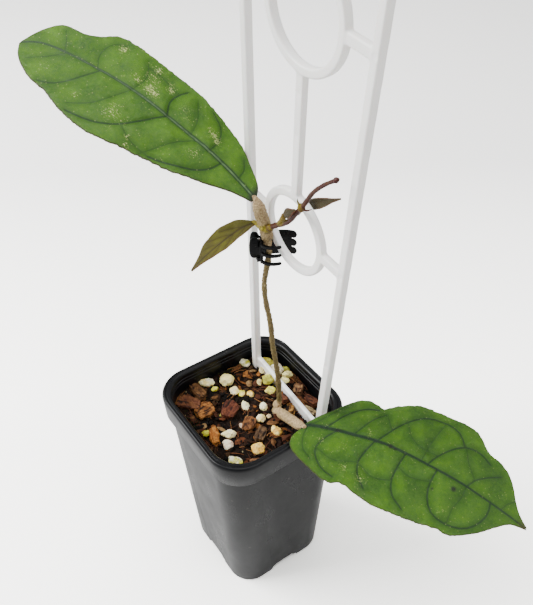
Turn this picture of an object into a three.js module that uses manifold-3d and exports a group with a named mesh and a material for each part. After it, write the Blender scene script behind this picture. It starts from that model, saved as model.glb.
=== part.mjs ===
// A rooted hoya cutting in a square nursery pot, clipped to a small white ring trellis.
// Millimetres, +Z up. The pot stands on its four feet with its sides along X and Y.
import * as THREE from 'three';
import { mergeVertices } from 'three/addons/utils/BufferGeometryUtils.js';
import Module from 'manifold-3d';

const wasm = await Module();
wasm.setup();

// Driving dimensions
const CLEARANCE = 0.3;

const POT = {
  height: 108,
  rimHalf: 35,
  rimRadius: 15,
  bandHeight: 12.5,
  bandFootHalf: 34.2,
  bandThickness: 0.9,
  topHalf: 32.2,
  topRadius: 13.5,
  baseHalf: 26.3,
  baseRadius: 12.5,
  wall: 1.2,
  floor: 6.5,
  footHeight: 4,
  archLength: 16,
  drainRadius: 3.5,
};
const CORNER_STEPS = 5;

const SOIL = {
  level: 94.5,
  moundHeight: 5,
  moundRadius: 16,
  mound: [-6, 22],
  wallLift: 3.2,
  wallReach: 11,
};

const TRELLIS = {
  foot: [-9.3, 23.7, 10.7],
  sideLean: 6.7,
  forwardLean: 2.7,
  spikeBottom: 63,
  railStart: 80,
  railTop: 300,
  topBar: 310,
  fan: 0.0357,
  fanLevel: 194,
  halfSpacing: 29.5,
  railWidth: 4,
  railDepth: 3.4,
  barDepth: 2.8,
  groundBar: [85.5, 93],
  smallRing: { level: 193.2, outer: 18.3, inner: 14.8, depth: 2.9 },
  bigRing: { level: 279, outer: 20.1, inner: 16.8, depth: 3.4 },
  edge: 0.3,
};
const RING_STEPS = 18;

const STEM = {
  radius: 1.15,
  route: [
    [3.6, 11.2, 84], [4.7, 12.4, 96], [4.4, 12.8, 107], [3.3, 12.6, 120.6], [1.8, 11.6, 134.5],
    [0.6, 11.1, 149], [-0.9, 10, 161], [-1.4, 9.9, 170], [-1.1, 11.1, 178], [-0.8, 12.2, 185],
    [-1.3, 12, 194],
  ],
  node: { centre: [-0.1, 10.8, 195], size: [2.9, 2.3, 3.4] },
  rootNode: { centre: [5.2, 11.3, 94], size: [3.4, 3, 3] },
  upperPetiole: [[-0.5, 10.9, 195], [-0.9, 10, 200.5], [-1.2, 8.6, 206], [-1.4, 7.3, 211]],
  lowerPetiole: [[5, 11.4, 94.5], [13, 10.2, 99.6], [22, 8.4, 105.4], [29.7, 6.8, 110.8]],
  petioleRadius: 2.35,
};

const SHOOT = {
  radius: 1.15,
  tipRadius: 0.7,
  route: [
    [2.2, 10.6, 199.4], [6.5, 10.4, 203], [11.8, 9.8, 206.7], [17.5, 9.1, 211.5], [23.8, 8.3, 219.2],
    [27.3, 7.9, 223.4], [33.4, 7.3, 231.8], [39.2, 7.1, 237.5], [44.5, 7.5, 241.6],
  ],
  side: [[9, 10.2, 204.8], [12.8, 8.6, 209.2], [16.3, 7.5, 213.2]],
  stalk: [[24.8, 8.6, 220.6], [20.4, 11.2, 216.2], [17.6, 13, 213], [15.2, 15.8, 211.6], [15.5, 17.3, 213.2]],
  node: [26, 8, 221.8],
};

const LEAF_THICKNESS = 0.8;
const YOUNG_THICKNESS = 0.65;

// Each leaf lies in its own frame: along from the petiole, across, and up out of the blade.
// Outlines are [along, across] in millimetres.
const UPPER_LEAF = {
  name: 'upper_leaf',
  base: [-1.6, 6.9, 212],
  tip: [-71.8, -46.6, 261.6],
  faces: [0.57, -0.14, 0.81],
  midrib: [[0, 0], [10.5, -2.5], [26, -5], [46, -7], [62, -8], [82.5, -7], [96, -5], [103, -0.8]],
  sideA: [
    [0, -2], [2, -6], [8, -10.5], [17, -16.5], [28, -20.5], [39, -23], [49, -24.5], [61, -25.2],
    [70, -25.4], [76, -24.5], [81, -20.5], [87, -17.4], [94.5, -16.2], [98.5, -12], [101.2, -7], [103, -1.6],
  ],
  sideB: [
    [0.6, 1.6], [5.5, 2.4], [11, 3.6], [22, 7.5], [31.5, 10.5], [40, 11.7], [48.5, 13], [56, 14.6],
    [64, 15.8], [72, 15.2], [78.5, 13.8], [85, 11.2], [91, 10.2], [97, 7.4], [101, 4], [103.2, 0],
  ],
  arch: 4,
  cup: -2,
  wave: 0.7,
  waves: 3.5,
  thickness: LEAF_THICKNESS,
  rows: 24,
  columns: 5,
  color: 0x4c8a24,
};

const LOWER_LEAF = {
  name: 'lower_leaf',
  base: [31.3, 6.2, 112],
  tip: [116.6, 55.2, 97],
  faces: [0.24, -0.12, 0.96],
  midrib: [[0, 0], [3, 2.4], [14.5, 4.8], [31.5, 7.3], [42, 7.6], [54, 7], [72, 5.6], [91, 2.5], [100, 0.8]],
  sideA: [
    [-0.6, -2.2], [-2, -5], [-2, -8], [-0.5, -10.7], [4, -13.4], [10.5, -16], [16.5, -18], [21.5, -18.2],
    [25, -17], [33.5, -18.5], [42.5, -19.5], [51, -19.5], [58, -18.5], [66.5, -17], [71, -17.3],
    [76, -15.5], [83.5, -10], [89, -4.7], [93.5, -1], [97.5, 0], [100.6, 0.4],
  ],
  sideB: [
    [0.4, 2], [4, 7.5], [9, 13.5], [13.5, 19], [18, 23], [22.5, 24.5], [26.5, 24], [29.5, 24],
    [34, 28], [40, 30.7], [47.5, 32.5], [56, 33], [68, 32], [72.5, 29.5], [77, 25], [83.5, 22.5],
    [88, 19], [91, 14.5], [93.5, 9.5], [96.5, 5], [100.5, 1.4],
  ],
  arch: 4,
  cup: -1,
  wave: 0.9,
  waves: 4.5,
  thickness: LEAF_THICKNESS,
  rows: 24,
  columns: 5,
  color: 0x457f2a,
};

const YOUNG_LEFT_LEAF = {
  name: 'young_left_leaf',
  base: [-4, 8.1, 199.6],
  tip: [-1.5, -23.2, 191.3],
  faces: [0.3, -0.2, 0.93],
  midrib: [[0, 0], [6, -1.2], [13.4, -1.1], [22.7, -0.8], [29, -0.4], [32.4, 0]],
  sideA: [[0, -0.9], [2.7, -3.6], [6.2, -5.8], [12, -6.4], [17, -6.2], [22.2, -5], [27, -2.5], [32.4, -0.4]],
  sideB: [[0, 0.9], [2.6, 1.1], [5.6, 1.6], [10.8, 2.3], [17, 2.6], [21.9, 2.1], [27, 1], [32.4, 0.4]],
  arch: 1.6,
  cup: 0.8,
  wave: 0.3,
  waves: 3,
  thickness: YOUNG_THICKNESS,
  rows: 14,
  columns: 2,
  color: 0x6c6a2c,
};

const YOUNG_RIGHT_LEAF = {
  name: 'young_right_leaf',
  base: [15.9, 17.6, 214],
  tip: [33.9, 18.6, 225.4],
  faces: [-0.1, -0.98, 0.15],
  midrib: [[0, 0], [6, 0.3], [12, 0.3], [21.3, 0]],
  sideA: [[0, -0.5], [3, -1.6], [7, -2.2], [12, -1.9], [17, -0.9], [21.3, -0.35]],
  sideB: [[0, 0.5], [3, 1.6], [7, 2.1], [12, 1.7], [17, 0.8], [21.3, 0.35]],
  arch: 0.6,
  cup: 0.5,
  wave: 0.15,
  waves: 2,
  thickness: YOUNG_THICKNESS,
  rows: 10,
  columns: 2,
  color: 0x5c5a2c,
};

const CURLED_LEAF = {
  name: 'curled_leaf',
  base: [17.1, 6.9, 214.4],
  tip: [25.3, 5.4, 221.4],
  faces: [0.2, -0.9, 0.3],
  midrib: [[0, 0], [4, 0], [8, 0], [10.9, 0]],
  sideA: [[0, -0.5], [2, -1.6], [5, -1.9], [8, -1.4], [10.9, -0.4]],
  sideB: [[0, 0.5], [2, 1.6], [5, 1.9], [8, 1.4], [10.9, 0.4]],
  arch: 1.4,
  cup: -1,
  wave: 0.1,
  waves: 2,
  thickness: YOUNG_THICKNESS,
  rows: 9,
  columns: 2,
  color: 0x54402c,
};

// The clip's frame: x from the thumb pads to the jaw tips, y away from the stem's front, z up.
const CLIP = {
  centre: [1.5, 13.8, 187.5],
  turn: 53.1,
  pivot: [-6.6, 0],
  pinRadius: 0.5,
  boreRadius: 0.62,
  knuckleRadius: 1.5,
  height: 9.8,
  nearProngHeight: 1.3,
  farProngHeight: 3.3,
  prongLevels: [-4, 0, 4],
  nearProng: [[-5.8, -1.5], [-5, -3.5], [-2.4, -4.8], [0.4, -4.8], [2.6, -4]],
  farProng: [[-5.8, 1.5], [-4.6, 3.6], [-0.5, 5.1], [5, 5.4], [8.6, 4.2]],
  prongThickness: 1.1,
  webThickness: 0.8,
  webTurns: 4,
  padCentre: [-8.4, 2.6],
  padLevel: 2,
  padSize: [2.2, 4.9],
  padThickness: 1,
};
const PRONG_STEPS = 9;

// Stones of pumice: [x, y, long, wide, turn] on the soil.
const STONES = [
  [-28.6, -8.2, 8.6, 4.6, 55], [-24.6, 0.8, 8, 7, 29], [-28.2, 14.3, 6.4, 4.2, 34], [-16.9, 0.9, 5.7, 4, -21],
  [-13.4, 3.2, 4.8, 3.4, -26], [-10.2, 6, 4.2, 3.8, 17], [-6.6, 0.5, 6.4, 4.2, -10], [-0.5, 6.9, 5.7, 3.6, -31],
  [-5, 14.2, 5.6, 4.4, 55], [-11.2, 17.7, 5.6, 5, 81], [-16.2, 23, 5.6, 5, -4], [-5.5, 23.4, 5.2, 3.6, -50],
  [4.7, 1.8, 5, 4.4, -11], [15.2, 3.6, 6.2, 4.8, -7], [3.7, -15.6, 6.6, 4.8, 55], [8.1, -19, 5.9, 4.6, 31],
  [18.5, -8.6, 6.6, 5.6, -83], [18.2, -21.8, 7.8, 4.4, 31], [-23.2, -6.6, 3.8, 3, 82], [-3, -24, 3.6, 3, 55],
];
const STONE_COLORS = [0xe9e2cd, 0xe3d9bd, 0xd7cf86];

// Chips of bark: [x, y, long, wide, turn, tilt] on the soil.
const CHIPS = [
  [-22.6, -21.4, 12.4, 7.6, 36, 10], [-26.4, -14.6, 13.2, 5.6, 4, -14], [-14.7, -17.4, 10, 9.2, 88, 8],
  [-8.5, -7.3, 10.8, 8.6, -56, -12], [1.2, -21.4, 10, 4.4, -24, 10], [4.7, -4.6, 8.5, 6.4, -49, 9],
  [8.8, 16, 7, 4.8, -40, 14], [3.2, 16.6, 4.8, 4, -8, -10], [1.9, 26, 6.5, 4.8, -44, 8],
  [11, 27.2, 8.1, 4.8, 16, -8], [24, -14.4, 5.4, 3.2, 73, 6], [14.8, 23.8, 7.5, 3.2, 11, 4],
  [12.6, -3.6, 8.2, 5.2, -59, -12],
];
const CHIP_THICKNESS = 3;
const CHIP_COLORS = [0x6a3a2c, 0xa8582a, 0x573026];

// Solids
function toSolid(geometry) {
  const bare = new THREE.BufferGeometry();
  bare.setAttribute('position', geometry.getAttribute('position'));
  if (geometry.index) {
    bare.setIndex(geometry.index);
  }
  const merged = mergeVertices(bare, 1e-4);
  return new wasm.Manifold(new wasm.Mesh({
    numProp: 3,
    vertProperties: Float32Array.from(merged.attributes.position.array),
    triVerts: Uint32Array.from(merged.index.array),
  }));
}

function toGeometry(solid) {
  const mesh = solid.getMesh();
  const geometry = new THREE.BufferGeometry();
  geometry.setAttribute('position', new THREE.BufferAttribute(mesh.vertProperties, 3));
  geometry.setIndex(new THREE.BufferAttribute(mesh.triVerts, 1));
  geometry.computeVertexNormals();
  return geometry;
}

function joinAll(solids) {
  return solids.reduce((whole, next) => whole.add(next));
}

function cutAll(solid, cutters) {
  return cutters.reduce((rest, cutter) => rest.subtract(cutter), solid);
}

function largestBody(solid) {
  const bodies = solid.decompose();
  return bodies.reduce((best, next) => (next.volume() > best.volume() ? next : best));
}

function node(name, geometry, material) {
  const mesh = new THREE.Mesh(geometry, material);
  mesh.name = name;
  return mesh;
}

function seededRandom(seed) {
  let state = seed;
  return () => {
    state = (state * 16807) % 2147483647;
    return state / 2147483647;
  };
}

// One closed strip of triangles between rings of equal length, with a fan over each end.
function loftRings(rings) {
  const size = rings[0].length;
  const points = rings.flat();
  const faces = [];
  for (let ring = 0; ring < rings.length - 1; ring += 1) {
    for (let i = 0; i < size; i += 1) {
      const next = (i + 1) % size;
      const a = ring * size + i;
      const b = ring * size + next;
      faces.push(a, b, b + size, a, b + size, a + size);
    }
  }
  const centreOf = (ring) => ring.reduce((sum, p) => sum.add(p), new THREE.Vector3()).divideScalar(size);
  const first = points.push(centreOf(rings[0])) - 1;
  const last = points.push(centreOf(rings[rings.length - 1])) - 1;
  const top = (rings.length - 1) * size;
  for (let i = 0; i < size; i += 1) {
    const next = (i + 1) % size;
    faces.push(first, next, i, last, top + i, top + next);
  }
  const geometry = new THREE.BufferGeometry().setFromPoints(points);
  geometry.setIndex(faces);
  geometry.computeVertexNormals();
  return geometry;
}

function roundedSquare(half, radius, z) {
  const ring = [];
  const centre = half - radius;
  for (let corner = 0; corner < 4; corner += 1) {
    const middle = Math.PI / 4 + corner * Math.PI / 2;
    const cx = centre * Math.sign(Math.cos(middle));
    const cy = centre * Math.sign(Math.sin(middle));
    for (let step = 0; step <= CORNER_STEPS; step += 1) {
      const angle = (corner + step / CORNER_STEPS) * Math.PI / 2;
      ring.push(new THREE.Vector3(cx + radius * Math.cos(angle), cy + radius * Math.sin(angle), z));
    }
  }
  return ring;
}

function curveThrough(points) {
  return new THREE.CatmullRomCurve3(points.map((p) => new THREE.Vector3(...p)), false, 'centripetal');
}

// A round bar along a curve, its radius given along the way.
function taperedBar(curve, radiusAt, steps, sides) {
  const frames = curve.computeFrenetFrames(steps, false);
  const rings = [];
  for (let i = 0; i <= steps; i += 1) {
    const along = i / steps;
    const centre = curve.getPointAt(along);
    const ring = [];
    for (let side = 0; side < sides; side += 1) {
      const angle = (side / sides) * Math.PI * 2;
      const out = frames.normals[i].clone().multiplyScalar(Math.cos(angle));
      out.addScaledVector(frames.binormals[i], Math.sin(angle));
      ring.push(centre.clone().addScaledVector(out, radiusAt(along)));
    }
    rings.push(ring);
  }
  return toSolid(loftRings(rings));
}

function blob(centre, size, detail) {
  const geometry = new THREE.IcosahedronGeometry(1, detail);
  geometry.scale(...size);
  geometry.translate(...centre);
  return toSolid(geometry);
}

// Pot
function potWallHalf(z) {
  return THREE.MathUtils.lerp(POT.baseHalf, POT.topHalf, z / (POT.height - POT.bandHeight));
}

function potCornerRadius(z) {
  return THREE.MathUtils.lerp(POT.baseRadius, POT.topRadius, z / (POT.height - POT.bandHeight));
}

function potRing(inset, z) {
  return roundedSquare(potWallHalf(z) - inset, potCornerRadius(z) - inset, z);
}

function makePot() {
  const bandFoot = POT.height - POT.bandHeight;
  const rim = (inset, drop) => roundedSquare(POT.rimHalf - inset, POT.rimRadius - inset, POT.height - drop);
  const foot = (inset, z) => roundedSquare(POT.bandFootHalf - inset, POT.rimRadius - 0.8 - inset, z);
  const rings = [
    roundedSquare(POT.baseHalf - 0.8, POT.baseRadius - 0.8, 0),
    potRing(0, 1),
    potRing(0, bandFoot),
    roundedSquare(POT.topHalf + 0.2, POT.topRadius, POT.height - 1.4),
    roundedSquare(POT.rimHalf - POT.bandThickness, POT.rimRadius - POT.bandThickness, POT.height - 1.4),
    foot(POT.bandThickness, bandFoot),
    foot(0, bandFoot),
    rim(0.1, 1.2),
    rim(0.6, 0.2),
    rim(1, 0),
    rim(1.3, 0),
    rim(1.5, 0.4),
    rim(2, 0.4),
    rim(2.2, 0),
    rim(2.7, 0),
    roundedSquare(POT.topHalf - POT.wall + 0.4, POT.topRadius - POT.wall + 0.4, POT.height - 0.5),
    roundedSquare(POT.topHalf - POT.wall, POT.topRadius - POT.wall, POT.height - 1.5),
    potRing(POT.wall, bandFoot),
    potRing(POT.wall, POT.floor),
  ];
  const cutters = [];
  for (const turn of [0, Math.PI / 2]) {
    cutters.push(archCutter(turn));
  }
  for (const [x, y] of [[-1, -1], [-1, 1], [1, -1], [1, 1]]) {
    const drain = new THREE.CylinderGeometry(POT.drainRadius, POT.drainRadius, 10, 12).rotateX(Math.PI / 2);
    cutters.push(toSolid(drain.translate(x * 9.5, y * 4, POT.floor)));
  }
  const material = new THREE.MeshStandardMaterial({ color: 0x1b1c1e, roughness: 0.5, metalness: 0 });
  return node('pot', toGeometry(cutAll(toSolid(loftRings(rings)), cutters)), material);
}

// The low arch between two feet: round at one end, with a small step at the other.
function archCutter(turn) {
  const half = POT.archLength / 2;
  const arch = new THREE.Shape();
  arch.moveTo(-half, -1);
  arch.lineTo(-half, 0.6);
  arch.quadraticCurveTo(-half + 1.5, POT.footHeight, -half + 6, POT.footHeight);
  arch.lineTo(half - 2.4, POT.footHeight);
  arch.lineTo(half - 2.4, POT.footHeight - 1.4);
  arch.lineTo(half, POT.footHeight - 1.8);
  arch.lineTo(half, -1);
  const span = 2 * POT.rimHalf;
  const cutter = new THREE.ExtrudeGeometry(arch, { depth: span, bevelEnabled: false, curveSegments: 4 });
  cutter.translate(0, 0, -span / 2);
  cutter.rotateX(Math.PI / 2);
  cutter.rotateZ(turn);
  return toSolid(cutter);
}

// Potting mix
function soilHeight(x, y) {
  const away = Math.hypot(x - SOIL.mound[0], y - SOIL.mound[1]) / SOIL.moundRadius;
  const mound = SOIL.moundHeight * Math.exp(-away * away);
  const fromWall = (x + POT.topHalf) / SOIL.wallReach;
  const lift = SOIL.wallLift * Math.exp(-fromWall * fromWall);
  return SOIL.level + mound + lift + 0.7 * Math.sin(x * 0.41 + 1) * Math.cos(y * 0.37);
}

function soilBed() {
  const inset = POT.wall + CLEARANCE;
  const rings = [potRing(inset, POT.floor + CLEARANCE), potRing(inset, 40), potRing(inset, 88)];
  for (const scale of [1, 0.85, 0.68, 0.5, 0.32, 0.15]) {
    const ring = potRing(inset, SOIL.level).map((p) => new THREE.Vector3(p.x * scale, p.y * scale, 0));
    ring.forEach((p) => p.setZ(soilHeight(p.x, p.y)));
    rings.push(ring);
  }
  return toSolid(loftRings(rings));
}

// Small crumbs of bark that break the surface, rooted in the bed.
function soilCrumbs() {
  const random = seededRandom(41);
  const crumbs = [];
  for (let i = 0; i < 10; i += 1) {
    const reach = 27 * Math.sqrt(random());
    const angle = random() * Math.PI * 2;
    const x = reach * Math.cos(angle);
    const y = reach * Math.sin(angle);
    const crumb = new THREE.BoxGeometry(3.5 + 3.5 * random(), 2 + 2 * random(), 3.4);
    crumb.rotateX((random() - 0.5) * 0.9);
    crumb.rotateZ(random() * Math.PI);
    crumbs.push(toSolid(crumb.translate(x, y, soilHeight(x, y) - 0.3)));
  }
  return crumbs;
}

function makeSoil(cutters) {
  const soil = cutAll(joinAll([soilBed(), ...soilCrumbs()]), cutters);
  const material = new THREE.MeshStandardMaterial({ color: 0x33241c, roughness: 0.95, metalness: 0 });
  return node('potting_mix', toGeometry(largestBody(soil)), material);
}

// A rough stone, given back with a slightly larger copy that cuts its seat.
function stonePair([x, y, long, wide, turn], index) {
  const random = seededRandom(700 + index * 37);
  const height = 0.8 * Math.min(long, wide);
  const centreZ = soilHeight(x, y) + 0.16 * height;
  const bumps = [random() * 6, random() * 6, random() * 6];
  const make = (grow) => {
    const geometry = new THREE.IcosahedronGeometry(1, 1);
    const position = geometry.attributes.position;
    for (let i = 0; i < position.count; i += 1) {
      const p = new THREE.Vector3().fromBufferAttribute(position, i);
      const rough = 1 + 0.09 * Math.sin(3 * p.x + bumps[0]) + 0.09 * Math.sin(4 * p.y + bumps[1])
        + 0.07 * Math.sin(3.5 * p.z + bumps[2]);
      position.setXYZ(i, ...p.multiplyScalar(rough).toArray());
    }
    geometry.scale(long / 2 + grow, wide / 2 + grow, height / 2 + grow);
    geometry.rotateZ(THREE.MathUtils.degToRad(turn));
    return toSolid(geometry.translate(x, y, centreZ));
  };
  return { solid: make(0), seat: make(CLEARANCE + 0.05) };
}

function chipPair([x, y, long, wide, turn, tilt], index) {
  const random = seededRandom(90 + index * 13);
  const corners = [];
  for (let i = 0; i < 8; i += 1) {
    const angle = (i / 8) * Math.PI * 2 + (random() - 0.5) * 0.4;
    const square = 1 / Math.max(Math.abs(Math.cos(angle)), Math.abs(Math.sin(angle)));
    const reach = THREE.MathUtils.lerp(1, square, 0.6) * (0.85 + 0.2 * random());
    corners.push([Math.cos(angle) * reach, Math.sin(angle) * reach]);
  }
  const make = (grow) => {
    const outline = new THREE.Shape(corners.map(([u, v]) => new THREE.Vector2(
      u * (long / 2 + grow),
      v * (wide / 2 + grow),
    )));
    const thickness = CHIP_THICKNESS + 2 * grow;
    const chip = new THREE.ExtrudeGeometry(outline, { depth: thickness, bevelEnabled: false });
    chip.translate(0, 0, -thickness / 2);
    chip.rotateX(THREE.MathUtils.degToRad(tilt));
    chip.rotateZ(THREE.MathUtils.degToRad(turn));
    return toSolid(chip.translate(x, y, soilHeight(x, y) + 0.5));
  };
  return { solid: make(0), seat: make(CLEARANCE + 0.05) };
}

// Stones and chips, each cut clear of those laid before it and of the pot's wall.
function layPieces(cutters) {
  const keepIn = toSolid(loftRings([
    potRing(POT.wall + CLEARANCE, 60),
    potRing(POT.wall + CLEARANCE, POT.height - POT.bandHeight),
    roundedSquare(POT.topHalf - POT.wall - CLEARANCE, POT.topRadius - POT.wall - CLEARANCE, POT.height),
  ]));
  const seats = [];
  const meshes = [];
  const lay = (name, pair, material) => {
    const shaped = largestBody(cutAll(pair.solid.intersect(keepIn), [...cutters, ...seats]));
    seats.push(pair.seat);
    meshes.push(node(name, toGeometry(shaped), material));
  };
  STONES.forEach((stone, index) => {
    const color = STONE_COLORS[index % STONE_COLORS.length];
    const material = new THREE.MeshStandardMaterial({ color, roughness: 0.9, metalness: 0 });
    lay(`pumice_${String(index + 1).padStart(2, '0')}`, stonePair(stone, index), material);
  });
  CHIPS.forEach((chip, index) => {
    const color = CHIP_COLORS[index % CHIP_COLORS.length];
    const material = new THREE.MeshStandardMaterial({ color, roughness: 0.85, metalness: 0 });
    lay(`bark_chip_${String(index + 1).padStart(2, '0')}`, chipPair(chip, index), material);
  });
  return { meshes, seats };
}

// Trellis, drawn in its own plane: [across, up], depth centred on the plane.
function railCentre(level) {
  return TRELLIS.halfSpacing + TRELLIS.fan * (level - TRELLIS.fanLevel);
}

// A straight bar with softly cut edges from one point of the plane to another.
function plainBar([u1, v1], [u2, v2], startWidth, endWidth, depth, grow = 0) {
  const along = new THREE.Vector2(u2 - u1, v2 - v1).normalize();
  const cut = TRELLIS.edge;
  const section = (u, v, width) => {
    const w = width / 2 + grow;
    const d = depth / 2 + grow;
    const outline = [
      [d, cut - w], [d, w - cut], [d - cut, w], [cut - d, w],
      [-d, w - cut], [-d, cut - w], [cut - d, -w], [d - cut, -w],
    ];
    return outline.map(([back, side]) => new THREE.Vector3(u - along.y * side, back, v + along.x * side));
  };
  return toSolid(loftRings([section(u1, v1, startWidth), section(u2, v2, endWidth)]));
}

function ringSolid({ level, outer, inner, depth }) {
  const edge = TRELLIS.edge;
  const half = depth / 2;
  const profile = [
    [inner, -half + edge], [inner + edge, -half], [outer - edge, -half], [outer, -half + edge],
    [outer, half - edge], [outer - edge, half], [inner + edge, half], [inner, half - edge],
    [inner, -half + edge],
  ];
  const lathe = new THREE.LatheGeometry(profile.map(([r, h]) => new THREE.Vector2(r, h)), 2 * RING_STEPS);
  return toSolid(lathe.translate(0, 0, level));
}

function trellisLegs(grow) {
  const { spikeBottom, railStart, railWidth, railDepth, groundBar } = TRELLIS;
  const solids = [];
  for (const side of [-1, 1]) {
    const at = (level) => [side * railCentre(level), level];
    solids.push(plainBar(at(spikeBottom), at(railStart), 1.6, railWidth, railDepth * 0.7, grow));
    solids.push(plainBar(at(railStart - 1), at(groundBar[1] + 8), railWidth, railWidth, railDepth, grow));
  }
  const middle = (groundBar[0] + groundBar[1]) / 2;
  const reach = railCentre(middle);
  const tall = groundBar[1] - groundBar[0];
  solids.push(plainBar([-reach, middle], [reach, middle], tall, tall, TRELLIS.barDepth * 0.8, grow));
  return joinAll(solids);
}

function trellisFrame() {
  const { railStart, railTop, topBar, railWidth, railDepth, barDepth, smallRing, bigRing } = TRELLIS;
  const solids = [trellisLegs(0), ringSolid(smallRing), ringSolid(bigRing)];
  const shoulder = topBar - railTop;
  for (const side of [-1, 1]) {
    const at = (level) => [side * railCentre(level), level];
    solids.push(plainBar(at(railStart), at(railTop), railWidth, railWidth * 0.88, railDepth));
    for (const ring of [smallRing, bigRing]) {
      const inner = (ring.outer + ring.inner) / 2;
      const start = [side * inner, ring.level];
      solids.push(plainBar(start, at(ring.level), railWidth, railWidth, barDepth));
    }
    const bend = 6;
    for (let i = 0; i < bend; i += 1) {
      const corner = (k) => {
        const angle = (k / bend) * Math.PI / 2;
        const inward = railCentre(railTop) - shoulder;
        return [side * (inward + shoulder * Math.cos(angle)), railTop + shoulder * Math.sin(angle)];
      };
      solids.push(plainBar(corner(i - 0.08), corner(i + 1.08), railWidth * 0.88, railWidth * 0.88, railDepth));
    }
  }
  const topReach = railCentre(railTop) - shoulder + 0.5;
  solids.push(plainBar([-topReach, topBar], [topReach, topBar], railWidth * 0.88, railWidth * 0.88, railDepth));
  solids.push(plainBar([0, bigRing.level + bigRing.inner + 1.5], [0, topBar], railWidth, railWidth, barDepth));
  const centreBottom = [0, smallRing.level + smallRing.inner + 1.5];
  const centreTop = [0, bigRing.level - bigRing.inner - 1.5];
  solids.push(plainBar(centreBottom, centreTop, railWidth, railWidth, barDepth));
  return joinAll(solids);
}

// The plane of the trellis, leaning to the side and a little forward.
function trellisGroup() {
  const group = new THREE.Group();
  group.position.set(...TRELLIS.foot);
  group.rotation.set(
    THREE.MathUtils.degToRad(TRELLIS.forwardLean),
    THREE.MathUtils.degToRad(TRELLIS.sideLean),
    0,
  );
  group.updateMatrixWorld(true);
  return group;
}

function inWorld(solid, group) {
  const geometry = toGeometry(solid);
  geometry.applyMatrix4(group.matrixWorld);
  return toSolid(geometry);
}

// Plant
function makeStem(grow = 0) {
  const stem = curveThrough(STEM.route);
  const upper = curveThrough(STEM.upperPetiole);
  const lower = curveThrough(STEM.lowerPetiole);
  const swell = (size) => size.map((value) => value + grow);
  const petiole = (along) => STEM.petioleRadius + grow - 0.35 * along + 0.25 * Math.sin(along * Math.PI);
  return joinAll([
    taperedBar(stem, () => STEM.radius + grow, 28, 8),
    blob(STEM.node.centre, swell(STEM.node.size), 1),
    blob(STEM.rootNode.centre, swell(STEM.rootNode.size), 1),
    taperedBar(upper, petiole, 8, 12),
    taperedBar(lower, petiole, 12, 12),
  ]);
}

function makeShoot(cutters) {
  const main = curveThrough(SHOOT.route);
  const side = curveThrough(SHOOT.side);
  const radius = (along) => THREE.MathUtils.lerp(SHOOT.radius, SHOOT.tipRadius, along);
  const knob = blob(SHOOT.route[SHOOT.route.length - 1], [1.1, 1.1, 1.1], 1);
  const shoot = joinAll([
    taperedBar(main, radius, 22, 8),
    taperedBar(side, () => 0.95, 5, 8),
    taperedBar(curveThrough(SHOOT.stalk), () => 0.6, 10, 6),
    blob(SHOOT.node, [1.5, 1.5, 1.7], 1),
    knob,
  ]);
  const material = new THREE.MeshStandardMaterial({ color: 0x5c3230, roughness: 0.55, metalness: 0 });
  return node('new_shoot', toGeometry(largestBody(cutAll(shoot, cutters))), material);
}

function splinePoints(outline, count) {
  const curve = new THREE.SplineCurve(outline.map(([u, v]) => new THREE.Vector2(u, v)));
  return curve.getSpacedPoints(count);
}

// A blade: ribs run from the midrib to both edges, and both faces share their triangles.
function leafGeometry(leaf) {
  const { rows, columns, thickness } = leaf;
  const midrib = splinePoints(leaf.midrib, rows);
  const edges = [splinePoints(leaf.sideA, rows), splinePoints(leaf.sideB, rows)];
  const length = leaf.midrib[leaf.midrib.length - 1][0];
  const width = 2 * columns + 1;
  const top = [];
  for (let i = 0; i <= rows; i += 1) {
    for (let j = -columns; j <= columns; j += 1) {
      const out = Math.abs(j) / columns;
      const edge = edges[j < 0 ? 0 : 1][i];
      const at = midrib[i].clone().lerp(edge, out);
      const along = THREE.MathUtils.clamp(at.x / length, 0, 1);
      const fade = Math.sin(Math.PI * Math.min(1, 0.12 + along));
      const ripple = leaf.wave * fade * Math.sin(leaf.waves * along * Math.PI * 2 + (j < 0 ? 0 : 1.7));
      const height = leaf.arch * 4 * along * (1 - along) + (leaf.cup + ripple) * out * out * fade;
      top.push(new THREE.Vector3(at.x, at.y, height));
    }
  }
  const bottom = top.map((p) => p.clone().setZ(p.z - thickness));
  const count = top.length;
  const faces = [];
  const quad = (a, b, c, d) => faces.push(a, b, c, a, c, d);
  for (let i = 0; i < rows; i += 1) {
    for (let j = 0; j < width - 1; j += 1) {
      const a = i * width + j;
      const b = a + width;
      quad(a, b, b + 1, a + 1);
      faces.push(count + a, count + b + 1, count + b, count + a, count + a + 1, count + b + 1);
    }
  }
  for (let i = 0; i < rows; i += 1) {
    const near = i * width;
    const far = near + width - 1;
    quad(near, count + near, count + near + width, near + width);
    quad(far, far + width, count + far + width, count + far);
  }
  for (let j = 0; j < width - 1; j += 1) {
    const end = rows * width + j;
    quad(j, j + 1, count + j + 1, count + j);
    quad(end, count + end, count + end + 1, end + 1);
  }
  const geometry = new THREE.BufferGeometry().setFromPoints([...top, ...bottom]);
  geometry.setIndex(faces);
  geometry.computeVertexNormals();
  return geometry;
}

function makeLeaf(leaf) {
  const base = new THREE.Vector3(...leaf.base);
  const along = new THREE.Vector3(...leaf.tip).sub(base).normalize();
  const across = new THREE.Vector3().crossVectors(new THREE.Vector3(...leaf.faces), along).normalize();
  const up = new THREE.Vector3().crossVectors(along, across);
  const material = new THREE.MeshStandardMaterial({ color: leaf.color, roughness: 0.45, metalness: 0 });
  const mesh = node(leaf.name, leafGeometry(leaf), material);
  mesh.quaternion.setFromRotationMatrix(new THREE.Matrix4().makeBasis(along, across, up));
  mesh.position.copy(base);
  return mesh;
}

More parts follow.
